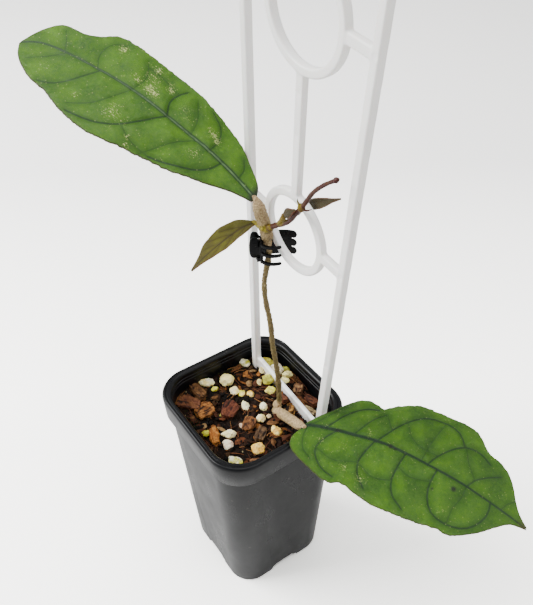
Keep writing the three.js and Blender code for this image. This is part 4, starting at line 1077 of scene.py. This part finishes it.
def makeShootFinish():
    mix = Finish("maroonShoot", 0.45, Specular_IOR_Level=0.18)
    fine = mix.cloud(1500, 5, 0.3, 0.7)
    base = mix.blend(fine, (0.020, 0.0032, 0.0026), (0.062, 0.012, 0.0085))
    base = mix.coat(base, (0.085, 0.040, 0.010), mix.cloud(260, 3, 0.35, 0.65), 0.35)
    fresh = mix.blend(fine, (0.10, 0.075, 0.005), (0.26, 0.20, 0.012))
    base = mix.blend(mix.own("fresh"), base, fresh)
    return mix.done(base, mix.spread(fine, 0, 1, 0.36, 0.55), mix.relief(mix.noise(2200, 4), 0.00015, 0.5))


def makeShoot():
    shape = shootShape
    radii = [shape["radius"] + (shape["tip"] - shape["radius"]) * i / 80 + 0.04 * math.sin(i * 0.9)
             for i in range(81)]
    side = smoothPath(shape["side"], 20)
    parts = [stalk("shoot", smoothPath(shape["route"], 80), radii),
             stalk("sideStalk", side, [0.95 + 0.12 * math.sin(i * 0.5) for i in range(21)]),
             stalk("leafStalk", smoothPath(shape["stalk"], 40), [0.62 - 0.002 * i for i in range(41)])]
    parts += [lump(*swelling) for swelling in shape["lumps"]]
    parts += [stalk("bract", smoothPath(bract, 10), [0.5 - 0.036 * i for i in range(11)])
              for bract in shape["bracts"]]
    shoot = joinPieces("maroonShoot", parts)
    fuse(shoot, shape["grain"], 3)
    roughen(shoot, "CLOUDS", 0.9, 0.16, noise_depth=2)
    paintNear(shoot, "fresh", [side[5:]] + shape["freshHeels"], 0.5, 1.9)
    shadeSoft(shoot)
    finishPiece(shoot, "maroonShoot", makeShootFinish(), "new_shoot")


makeStem()
makeShoot()
print("stem and shoot made")


soilShape = {"level": 94.5, "mound": (-6, 22), "rise": 5, "radius": 16, "half": 30.7, "corner": 12,
             "wallSide": -32.2, "wallLift": 3.2, "wallReach": 11, "turns": 300, "rings": 96, "sunk": 0.65,
             "waves": [(0.35, 1.0, 1.7), (1.0, 0.75, 5.1), (2.4, 0.4, 8.3)],
             # level, half width and corner of the rings down the pot's wall
             "below": [(80, 29.9, 11.7), (40, 27.1, 10.6), (7, 25.0, 10.2)]}


def soilLevel(x, y):
    away = math.hypot(x - soilShape["mound"][0], y - soilShape["mound"][1]) / soilShape["radius"]
    return (soilShape["level"] + soilShape["rise"] * math.exp(-away * away)
            + soilShape["wallLift"] * math.exp(-((x - soilShape["wallSide"]) / soilShape["wallReach"]) ** 2)
            + 0.7 * math.sin(x * 0.41 + 1) * math.cos(y * 0.37))


def roundedReach(angle, half, corner):
    # distance from the middle of a rounded square to its side
    c, s = abs(math.cos(angle)), abs(math.sin(angle))
    flat = half / max(c, s)
    inner = half - corner
    along = (inner * (c + s)) ** 2 - (2 * inner * inner - corner * corner)
    if min(c, s) * flat > inner and along > 0:
        return inner * (c + s) + math.sqrt(along)
    return flat


def heldIn(x, y, half, corner):
    # a spot past the wall is brought back to it
    away = roundedReach(math.atan2(y, x), half, corner) / max(math.hypot(x, y), 1e-6)
    return (x * away, y * away) if away < 1 else (x, y)


def makeMixFinish():
    mix = Finish("darkBarkMix", 0.85, Specular_IOR_Level=0.14)
    fine = mix.cloud(900, 6, 0.3, 0.7)
    # the bed under the loose bits: the mix's own dark brown, made near black as painted shade for the gaps
    # between them
    soil = mix.blend(fine, (0.0005, 0.0003, 0.0002), (0.0075, 0.0034, 0.0016))
    soil = mix.coat(soil, (0.020, 0.008, 0.0028), mix.cloud(160, 4, 0.38, 0.62), 0.5)
    soil = mix.coat(soil, (0.50, 0.40, 0.20), mix.dots(850, 0.035), 0.7)  # grit
    bits = mix.blend(mix.reckon("SUBTRACT", 1, fine), mix.ownColour("tint"), (0.42, 0.34, 0.26), "MULTIPLY")
    base = mix.blend(mix.own("loose"), soil, bits)
    crumb = mix.relief(mix.noise(1500, 6, roughness=0.7), 0.0005, 0.8)
    return mix.done(base, mix.spread(fine, 0, 1, 0.62, 0.95), crumb)


def ringSpots(half, corner, out=1.0):
    spots = []
    for k in range(soilShape["turns"]):
        angle = k / soilShape["turns"] * 2 * math.pi
        reach = roundedReach(angle, half, corner) * out
        spots.append((reach * math.cos(angle), reach * math.sin(angle)))
    return spots


def soilSurface():
    # a disc of rings out to the wall, then down it and across the floor
    turns, rings = soilShape["turns"], soilShape["rings"]
    flat = [(0, 0)]
    for r in range(1, rings + 1):
        flat += ringSpots(soilShape["half"], soilShape["corner"], r / rings)
    points = []
    for x, y in flat:
        level = soilLevel(x, y) - soilShape["sunk"]
        for scale, height, layer in soilShape["waves"]:
            level += height * noise.noise(Vector((x * scale, y * scale, layer)))
        points.append((x, y, level))
    for z, half, corner in soilShape["below"]:
        points += [(x, y, z) for x, y in ringSpots(half, corner)]
    faces = [(0, 1 + k, 1 + (k + 1) % turns) for k in range(turns)]
    for r in range(rings + 2):
        for k in range(turns):
            a, b = 1 + r * turns + k, 1 + r * turns + (k + 1) % turns
            faces.append((a, a + turns, b + turns, b))
    last = 1 + (rings + 2) * turns
    faces.append(tuple(last + k for k in range(turns))[::-1])
    bed = meshPiece("barkMixBed", points, faces)
    faceOutward(bed)
    tintOf(bed, "tint", (0.02, 0.015, 0.01))
    store(bed, "loose", 0)
    return bed


looseShape = {
    "seed": 11, "within": (29.6, 11.5), "fibresWithin": (30.0, 11.7),
    # sizes are the least and how much more: along, across and up
    "clods": 300, "clodKinds": 6, "clodReach": 30.2, "clodSize": ((0.7, 1.5), (0.5, 0.9), (0.35, 0.5)),
    "thinShare": 0.4, "thinness": 0.45, "thinPicks": (3, 4, 1, 6, 3), "clodPicks": (0, 0, 1, 2, 2, 5, 6),
    "flakes": 30, "flakeReach": 27.5, "flakeSize": ((1.5, 1.5), (0.8, 0.8), (0.42, 0.3)), "fromStones": 4.2,
    # the dark moss tufts also serve as painted shade along the wall that faces the light least
    "moss": 260, "mossScatter": 2.6, "mossSpots": [(-25, 2), (-22, -17), (-29, 8), (-13, -26)],
    "fibres": 260, "nestShare": 0.65, "fibreReach": 28, "fibreLong": (2.5, 5), "fibreThick": (0.10, 0.12),
    # x, y, heading and width of the nests of fibres
    "nests": [(-6, 28, 0.6, 9), (4, 27, 0.2, 8), (-27, -24, 1.9, 6), (-16, -27, 0.3, 7), (17, 2, 1.2, 5),
              (-10, 13, 0.9, 6), (8, 22, 0.2, 5), (24, -20, 2.0, 5), (-28, 10, 1.5, 5), (2, -28, 0.1, 6)],
    "clodTints": [(0.005, 0.003, 0.002), (0.032, 0.014, 0.006), (0.003, 0.002, 0.0015),
                  (0.075, 0.024, 0.009), (0.19, 0.070, 0.016), (0.060, 0.030, 0.012),
                  (0.017, 0.006, 0.003)],
    "flakeTints": [(0.13, 0.042, 0.016), (0.24, 0.095, 0.026), (0.33, 0.13, 0.032), (0.085, 0.030, 0.014),
                   (0.18, 0.085, 0.032), (0.30, 0.19, 0.085)],
    "mossTints": [(0.012, 0.020, 0.004), (0.030, 0.040, 0.006), (0.008, 0.010, 0.004)],
    "fibreTints": [(0.22, 0.085, 0.035), (0.13, 0.045, 0.022), (0.30, 0.14, 0.05), (0.09, 0.035, 0.02)],
}
# stones too small to be pieces of their own: x, y, length, width, turn, lift and colour
smallStones = [(6.2, 5.6, 2.6, 2.0, -30, 0, (0.85, 0.72, 0.42)),
               (2.6, -7.2, 3.6, 2.6, 15, 0, (0.80, 0.62, 0.46)),
               (21, 14, 2.4, 1.9, 40, 0, (0.80, 0.68, 0.36)),
               (-20, -21, 2.8, 2.1, -15, 0, (0.85, 0.78, 0.52)),
               (10.5, 27, 2.4, 1.8, 5, 0, (0.74, 0.62, 0.30)),
               (-8, -12, 2.2, 1.8, 70, 0, (0.50, 0.46, 0.10)),
               (-21.0, 23.6, 6.4, 4.8, 35, 1.6, (0.66, 0.62, 0.09)),
               (-12.2, 23.4, 6.8, 5.6, -15, 3.0, (0.92, 0.88, 0.68)),
               (-9.6, 16.4, 6.2, 5.4, 40, 2.6, (0.62, 0.62, 0.10)),
               (-17.4, 18.2, 4.6, 3.4, -30, 2.2, (0.86, 0.78, 0.42)),
               (-6.4, 25.6, 5.0, 3.4, 60, 1.6, (0.82, 0.78, 0.34)),
               (-11.6, 28.4, 4.6, 3.0, 20, 1.0, (0.58, 0.58, 0.09)),
               (-12.4, 13.0, 3.8, 2.8, -10, 1.0, (0.88, 0.76, 0.34))]


def wornLump(detail, amount, scale, shift, fine=0):
    piece = roundLump(detail)
    for spot in piece.data.vertices:
        spot.co *= 1 + amount * noise.noise(spot.co * scale + Vector(shift)) + fine * noise.noise(spot.co * 6)
    return piece


def anySize(rng, *ranges):
    return [least + more * rng.random() for least, more in ranges]


def tumbled(rng, lean):
    return Matrix.Rotation(rng.random() * 6.28, 4, "Z") @ Matrix.Rotation((rng.random() - 0.5) * lean, 4, "X")


def layDown(piece, x, y, lift, turn, size, tint):
    piece.data.transform(Matrix.Translation((x, y, soilLevel(x, y) + lift)) @ turn
                         @ Matrix.Diagonal((*size, 1)))
    tintOf(piece, "tint", tint)
    return piece


def layClods(rng):
    # small clods and thin bits of bark, a few shapes used over and over
    masters = [wornLump(2, 0.45, 1.6, (k * 7.3, 0, 0)) for k in range(looseShape["clodKinds"])]
    bits = []
    for i in range(looseShape["clods"]):
        reach, angle = looseShape["clodReach"] * math.sqrt(rng.random()), rng.random() * 2 * math.pi
        reach = min(reach, roundedReach(angle, *looseShape["within"]))
        thin = rng.random() < looseShape["thinShare"]
        size = Vector(anySize(rng, *looseShape["clodSize"]))
        if thin:
            size.z *= looseShape["thinness"]
        bit = masters[i % len(masters)].copy()
        bit.data = bit.data.copy()
        bpy.context.scene.collection.objects.link(bit)
        turn, lift = tumbled(rng, 1.2), 0.5 * rng.random() - 0.2
        tint = looseShape["clodTints"][rng.choice(looseShape["thinPicks" if thin else "clodPicks"])]
        bits.append(layDown(bit, reach * math.cos(angle), reach * math.sin(angle), lift, turn, size, tint))
    for master in masters:
        bpy.data.objects.remove(master)
    return bits


def layFlakes(rng):
    # flakes of bark the size of a fingernail's edge, beside the pieces of pumice
    corners = [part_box(f"pumice_{k + 1:02d}") for k in range(len(stoneTints))]
    taken = [((low + high) / 2 - potPlace) / mm for low, high in corners]
    reach, tints = looseShape["flakeReach"], looseShape["flakeTints"]
    bits = []
    while len(bits) < looseShape["flakes"]:
        x, y = rng.uniform(-reach, reach), rng.uniform(-reach, reach)
        if min(math.hypot(x - spot.x, y - spot.y) for spot in taken) < looseShape["fromStones"]:
            continue
        flake = wornLump(3, 0.5, 1.1, (len(bits) * 5.1, 2, 0))
        for spot in flake.data.vertices:
            spot.co.z += 0.10 * math.sin(spot.co.y * 9) + 0.12 * noise.noise(spot.co * 4)
        turn, size = tumbled(rng, 0.9), anySize(rng, *looseShape["flakeSize"])
        bits.append(layDown(flake, x, y, 0.25, turn, size, tints[len(bits) % len(tints)]))
    return bits


def layStones():
    bits = []
    for x, y, long, wide, turn, raised, tint in smallStones:
        stone = wornLump(4, 0.4, 1.2, (x, y, 0), 0.07)
        breakFaces(stone, round(long * 10), 8, 0.66)
        bits.append(layDown(stone, x, y, 0.3 + raised, Matrix.Rotation(math.radians(turn), 4, "Z"),
                            (long / 2, wide / 2, wide / 2.4), tint))
    return bits


def layMossAndShade(rng):
    # tufts of dark moss, most of them along the wall that faces the light least, where they also lay painted
    # shade on the mix
    bits = []
    scatter = looseShape["mossScatter"]
    for i in range(looseShape["moss"]):
        nearX, nearY = looseShape["mossSpots"][i % 4]
        x, y = nearX + rng.gauss(0, scatter), nearY + rng.gauss(0, scatter)
        x, y = heldIn(x, y, *looseShape["within"])
        place = (x, y, soilLevel(x, y) + 0.2 + 0.5 * rng.random())
        tuft = lump(place, (0.18 + 0.3 * rng.random(), 0.3, 0.25), 1)
        tintOf(tuft, "tint", looseShape["mossTints"][i % 3])
        bits.append(tuft)
    return bits


def layFibres(rng):
    # short fibres, most of them in nests that lie one way
    bits = []
    nests = looseShape["nests"]
    for i in range(looseShape["fibres"]):
        if rng.random() < looseShape["nestShare"]:
            nearX, nearY, heading, wide = nests[i % len(nests)]
            x, y = nearX + (rng.random() - 0.5) * wide, nearY + (rng.random() - 0.5) * wide
            angle = heading + (rng.random() - 0.5) * 0.9
        else:
            reach, angle = looseShape["fibreReach"] * math.sqrt(rng.random()), rng.random() * 2 * math.pi
            x, y = reach * math.cos(angle), reach * math.sin(angle)
            angle = rng.random() * math.pi
        long, = anySize(rng, looseShape["fibreLong"])
        line = []
        for t in (-0.5, -0.17, 0.17, 0.5):
            px = x + math.cos(angle) * long * t + 0.5 * (rng.random() - 0.5)
            py = y + math.sin(angle) * long * t + 0.5 * (rng.random() - 0.5)
            px, py = heldIn(px, py, *looseShape["fibresWithin"])
            line.append((px, py, soilLevel(px, py) + 0.25 + 0.9 * rng.random() * (1 - 2 * abs(t) * 0.6)))
        thick, = anySize(rng, looseShape["fibreThick"])
        fibre = stalk("fibre", smoothPath(line, 7), [thick * (1 - 0.6 * (j / 7) ** 2) for j in range(8)], 1)
        tintOf(fibre, "tint", looseShape["fibreTints"][i % 4])
        bits.append(fibre)
    return bits


def makeMix():
    rng = random.Random(looseShape["seed"])
    bits = layClods(rng) + layFlakes(rng) + layStones() + layMossAndShade(rng) + layFibres(rng)
    loose = joinPieces("looseMix", bits)
    store(loose, "loose", 1)
    bed = joinPieces("barkMixBed", [soilSurface(), loose])
    shadeSoft(bed, 50)
    finishPiece(bed, "barkMixBed", makeMixFinish(), "potting_mix")


# first and second colour of each stone, in the order they lie
cream, white, pale = (1.0, 0.83, 0.30), (1.0, 0.96, 0.72), (1.0, 0.90, 0.44)
lime, moss, amber = (0.66, 0.64, 0.05), (0.40, 0.40, 0.03), (0.78, 0.45, 0.07)
rosy = (0.95, 0.66, 0.48)
stoneTints = [(white, cream), (cream, pale), (white, moss), (white, cream), (cream, lime), (cream, amber),
              (white, pale), (white, pale), (cream, lime), (lime, cream), (white, lime), (pale, lime),
              (cream, white), (cream, amber), (white, pale), (white, rosy), (cream, amber),
              (white, lime), (lime, cream), (lime, moss)]


def makePumiceFinish():
    mix = Finish("palePumice", 0.88, Specular_IOR_Level=0.3, Subsurface_Weight=0.05, Subsurface_Scale=0.001)
    fine = mix.cloud(1300, 6, 0.25, 0.75)
    base = mix.blend(mix.cloud(300, 4, 0.40, 0.60), mix.ownColour("tint"), mix.ownColour("second"))
    # painted shade: darker where the fine bumps dip
    shaded = mix.reckon("SUBTRACT", 0.26, mix.times(fine, 0.26))
    base = mix.blend(shaded, base, (0.62, 0.52, 0.28), "MULTIPLY")
    pits = mix.node("ShaderNodeTexVoronoi", {"Vector": mix.place, "Scale": 1500}).outputs["Distance"]
    # painted shade: darker brown down in the pits
    base = mix.coat(base, (0.16, 0.10, 0.03), mix.spread(pits, 0.30, 0.10), 0.3)
    base = mix.coat(base, (0.14, 0.075, 0.022), mix.dots(700, 0.12), 0.35)  # stains
    return mix.done(base, None, mix.relief(fine, 0.0003, 0.5, mix.relief(pits, 0.0003, 0.5)))


def breakFaces(piece, seed, planes=9, deep=0.70):
    # flat broken faces: whatever stands past a few random planes is pressed back onto them
    rng = random.Random(seed)
    co = spotsOf(piece)
    low, high = co.min(axis=0), co.max(axis=0)
    middle, half = (low + high) / 2, (high - low) / 2
    spots = (co - middle) / half
    for _ in range(planes):
        facing = np.array([rng.gauss(0, 1), rng.gauss(0, 1), rng.gauss(0, 0.8) + 0.35])
        facing /= np.linalg.norm(facing)
        past = spots @ facing - (deep + 0.16 * rng.random())
        spots -= 0.9 * np.clip(past, 0, None)[:, None] * facing
    spots = (spots - spots.min(axis=0)) / (spots.max(axis=0) - spots.min(axis=0)) * 2 - 1
    moveSpots(piece, spots * half + middle)


def finishTwoTone(piece, first, second, name, finish, node):
    tintOf(piece, "tint", first)
    tintOf(piece, "second", second)
    shadeSoft(piece)
    finishPiece(piece, name, finish, node)


def makePumice():
    finish = makePumiceFinish()
    for i, (first, second) in enumerate(stoneTints):
        node = f"pumice_{i + 1:02d}"
        stone = frameCopy(node)
        fuse(stone, 0.21, 5, 0.6)
        breakFaces(stone, 40 + i)
        roughen(stone, "VORONOI", 2.1, 0.55, middle=0.45)
        roughen(stone, "CLOUDS", 1.3, 0.4, middle=0.40, noise_depth=3)
        roughen(stone, "STUCCI", 0.7, 0.25)
        finishTwoTone(stone, first, second, f"pumiceStone{i + 1:02d}", finish, node)


# face colour, edge colour, depth of the grain and its direction for each chip of bark
chipTints = [((0.115, 0.036, 0.018), (0.20, 0.078, 0.028), 0.5, 36),
             ((0.095, 0.042, 0.015), (0.20, 0.095, 0.033), 0.9, 4),
             ((0.23, 0.078, 0.015), (0.42, 0.18, 0.045), 1.2, 88),
             ((0.085, 0.020, 0.011), (0.16, 0.048, 0.02), 0.5, -56),
             ((0.37, 0.115, 0.014), (0.52, 0.22, 0.045), 1.4, -24),
             ((0.125, 0.045, 0.013), (0.25, 0.105, 0.032), 1.3, -49),
             ((0.27, 0.115, 0.024), (0.47, 0.26, 0.07), 1.3, -40),
             ((0.09, 0.024, 0.012), (0.19, 0.07, 0.028), 0.6, -8),
             ((0.085, 0.030, 0.012), (0.30, 0.17, 0.075), 0.7, -44),
             ((0.095, 0.027, 0.014), (0.16, 0.056, 0.024), 0.6, 16),
             ((0.15, 0.062, 0.024), (0.29, 0.145, 0.06), 1.0, 73),
             ((0.38, 0.27, 0.13), (0.56, 0.45, 0.26), 0.6, 11),
             ((0.070, 0.038, 0.019), (0.15, 0.085, 0.038), 1.0, -59)]


def makeBarkFinish():
    mix = Finish("flakyBark", 0.72, Specular_IOR_Level=0.2)
    other, ridge, fine = mix.ownColour("second"), mix.own("ridge"), mix.cloud(1100, 6, 0.3, 0.7)
    base = mix.coat(mix.ownColour("tint"), other, mix.cloud(260, 4, 0.4, 0.62), 0.4)
    base = mix.blend(mix.spread(ridge, 0.45, 0.85), base, other)
    # painted shade: near black down in the grooves between the grain's ridges
    base = mix.blend(mix.spread(ridge, 0.46, 0.16), base, (0.010, 0.0045, 0.0025))
    base = mix.blend(mix.times(fine, 0.75), base, (0.36, 0.28, 0.21), "MULTIPLY")
    return mix.done(base, mix.spread(fine, 0, 1, 0.55, 0.85), mix.relief(fine, 0.0004, 0.6))


def grainRidges(piece, heading, depth):
    # long ridges that follow the wood's fibres
    turn = math.radians(heading)
    c, s = math.cos(turn), math.sin(turn)
    values = []
    for spot in piece.data.vertices:
        x, y, z = spot.co
        u, v = x * c + y * s, -x * s + y * c
        wobble = 0.6 * noise.noise(Vector((u * 0.3, v * 0.3, z * 0.3)))
        strand = noise.noise(Vector((u * 0.16, (v + wobble) * 1.15, z * 1.3 + heading)))
        fine = noise.noise(Vector((u * 0.4, (v + wobble) * 3.2, z * 3.0 - heading)))
        flake = noise.noise(Vector((u * 0.5, v * 0.5, z * 0.9 + 4.0)))
        values.append(0.62 * strand + 0.28 * fine + 0.3 * (1 if flake > 0.12 else 0) - 0.1)
    values = np.array(values)
    moveSpots(piece, spotsOf(piece) + spotsOf(piece, "normal") * (values * depth * 0.62)[:, None])
    store(piece, "ridge", np.clip(values + 0.5, 0, 1))


def makeBark():
    finish = makeBarkFinish()
    for i, (face, edge, depth, heading) in enumerate(chipTints):
        node = f"bark_chip_{i + 1:02d}"
        chip = frameCopy(node)
        fuse(chip, 0.25, 3)
        grainRidges(chip, heading, depth)
        finishTwoTone(chip, face, edge, f"barkChip{i + 1:02d}", finish, node)


makeMix()
makePumice()
makeBark()
print("potting mix, pumice and bark made")


clipShape = {"centre": (1.5, 13.8, 187.5), "turn": 53.1, "pivot": -6.6, "pin": (0.5, 10.4), "bore": 0.62,
             "knuckle": 1.5, "knuckleTall": 2, "knuckleGap": 0.3, "height": 9.8, "nearHeight": 1.3,
             "farHeight": 3.3, "levels": (-4, 0, 4), "thick": 1.1, "web": 0.8, "webEnd": (6.4, 5.0),
             "grain": 0.13,
             "near": [(-5.8, -1.5), (-5, -3.5), (-2.4, -4.8), (0.4, -4.8), (2.6, -4)],
             "far": [(-5.8, 1.5), (-4.6, 3.6), (-0.5, 5.1), (5, 5.4), (8.6, 4.2)],
             "pad": -8.4, "padAside": 1.6, "padTurn": 14, "padLevel": 2, "padSize": (2.2, 1, 4.9),
             "padPower": 2.7, "ridges": 5, "ridgeApart": 1.3, "ridgeSize": (2.4, 0.5, 0.45),
             "nearKnuckles": (-3.9, 1.3), "farKnuckles": (-1.3, 3.9),
             # the bars between prongs, pin and pad: how far aside of the pin, length and width
             "heel": (2.4, 1.2, 2.2), "arm": (2.5, 3.4, 1), "lug": (1.4, 1.8, 1.8)}


def block(place, size, soft=0.2):
    piece = started(bpy.ops.mesh.primitive_cube_add, size=1, location=place, scale=size)
    if soft:
        applyModifier(piece, "BEVEL", width=soft, segments=2, limit_method="ANGLE")
    return piece


def prong(route, level, height, thick, narrowing=0.35):
    # a bar along a route, rounded off at its free end
    count = 36
    spots = outlineSpots(route, count)
    steps = np.hypot(*np.diff(spots, axis=0).T)
    toEnd = np.append(np.cumsum(steps[::-1])[::-1], 0)
    roundness = height / 2 if narrowing else 0
    points, faces = [], []
    for i, (x, y) in enumerate(spots):
        ahead = spots[min(i + 1, count)] - spots[max(i - 1, 0)]
        ahead = ahead / np.hypot(*ahead)
        half = thick / 2 * (1 - narrowing * (i / count) ** 2)
        tall = height / 2
        if toEnd[i] < roundness:
            tall *= max(math.sqrt(1 - (1 - toEnd[i] / roundness) ** 2), 0.12)
        for across, up in ((-1, -1), (1, -1), (1, 1), (-1, 1)):
            points.append((x - ahead[1] * half * across, y + ahead[0] * half * across, level + tall * up))
        if i:
            faces += [(4 * i - 4 + k, 4 * i - 4 + (k + 1) % 4, 4 * i + (k + 1) % 4, 4 * i + k)
                      for k in range(4)]
    faces += [(3, 2, 1, 0), tuple(4 * count + k for k in range(4))]
    return meshPiece("prong", points, faces)


def makePad(side):
    # the finger pad: a full oval with grip ridges, turned outward about the pin
    shape = clipShape
    place, level, power = shape["pad"], shape["padLevel"], shape["padPower"]
    pad = roundLump(4)
    for spot in pad.data.vertices:
        spot.co *= 1 / sum(abs(part) ** power for part in spot.co) ** (1 / power)
    pad.data.transform(Matrix.Translation((place, 0, level)) @ Matrix.Diagonal((*shape["padSize"], 1)))
    parts = [pad]
    long, deep, tall = shape["ridgeSize"]
    for k in range(shape["ridges"]):
        high = level + (2 - k) * shape["ridgeApart"]
        parts.append(block((place - 0.1, side * 0.78, high), (long - 0.35 * abs(k - 2), deep, tall), 0.12))
    turn = (Matrix.Translation((shape["pivot"], side * shape["padAside"], 0))
            @ Matrix.Rotation(math.radians(-side * shape["padTurn"]), 4, "Z")
            @ Matrix.Translation((-shape["pivot"], 0, 0)))
    for part in parts:
        part.data.transform(turn)
    return parts


def putOnStem(piece):
    piece.data.transform(Matrix.Translation(clipShape["centre"])
                         @ Matrix.Rotation(math.radians(clipShape["turn"]), 4, "Z"))


def makeJaw(side, name, node, body, knuckles, others, finish):
    shape = clipShape
    route, tall = (shape["near"], shape["nearHeight"]) if side < 0 else (shape["far"], shape["farHeight"])
    pivot, pad, high = shape["pivot"], shape["pad"], shape["height"]
    (heelAside, *heel), (armAside, *arm), (lugAside, *lug) = shape["heel"], shape["arm"], shape["lug"]
    knuckle, knuckleTall, gap = shape["knuckle"], shape["knuckleTall"], shape["knuckleGap"]
    parts = [prong(route, level, tall, shape["thick"]) for level in shape["levels"]]
    if side > 0:
        parts.append(prong(route[:4] + [shape["webEnd"]], 0, high, shape["web"], 0))
    parts.append(block((route[0][0] + 0.3, side * heelAside, 0), (*heel, high)))
    parts += makePad(side)
    parts.append(block(((pivot + pad) / 2 + 0.9, side * armAside, 1), (*arm, high * 0.42)))
    for level in knuckles:
        parts.append(barrel((pivot, 0, level), knuckle, knuckleTall))
        parts.append(block((pivot, side * lugAside, level), (*lug, knuckleTall), 0))
    jaw = joinPieces(name, parts)
    fuse(jaw, shape["grain"], 3)
    cutters = [barrel((pivot, 0, 0), shape["bore"], 20)]
    for level in others:  # room for the other jaw's knuckles
        cutters.append(barrel((pivot, 0, level), knuckle + gap, knuckleTall + 2 * gap))
        room = [width + 2 * gap for width in (*lug, knuckleTall)]
        cutters.append(block((pivot, -side * lugAside, level), room, 0))
    cutAway(jaw, cutters)
    putOnStem(jaw)
    shadeSoft(jaw, 35)
    finishPiece(jaw, name, finish, node, body)


def makeClipFinish():
    mix = Finish("blackClipPlastic", 0.26, Specular_IOR_Level=0.10)
    cloudy = mix.cloud(500, 4, 0.3, 0.7)
    base = mix.blend(cloudy, (0.0010, 0.0011, 0.0013), (0.0028, 0.0029, 0.0033))
    base = mix.coat(base, (0.10, 0.09, 0.08), mix.dots(2200, 0.05), 0.2)  # dust
    return mix.done(base, mix.spread(cloudy, 0, 1, 0.24, 0.38), mix.relief(mix.noise(3500, 2), 0.00005, 0.3))


def makePinFinish():
    mix = Finish("brightPinSteel", 0.28, Metallic=1.0)
    drawn = mix.noise(1, 3, (6000, 6000, 250))
    base = mix.blend(drawn, (0.42, 0.42, 0.43), (0.62, 0.62, 0.63))
    return mix.done(base, mix.spread(drawn, 0.3, 0.7, 0.2, 0.4), mix.relief(drawn, 0.00003, 0.3))


def makeClip():
    finish, near, far = makeClipFinish(), clipShape["nearKnuckles"], clipShape["farKnuckles"]
    makeJaw(-1, "clipNearJaw", "clip_near_jaw", jawBody, near, far, finish)
    makeJaw(1, "clipFarJaw", "clip_far_jaw", plantBody, far, near, finish)
    pin = barrel((clipShape["pivot"], 0, 0), *clipShape["pin"], 40)
    applyModifier(pin, "BEVEL", width=0.12, segments=3, limit_method="ANGLE")
    putOnStem(pin)
    shadeSoft(pin, 40)
    finishPiece(pin, "clipPin", makePinFinish(), "clip_pin")


makeClip()
print("clip made")
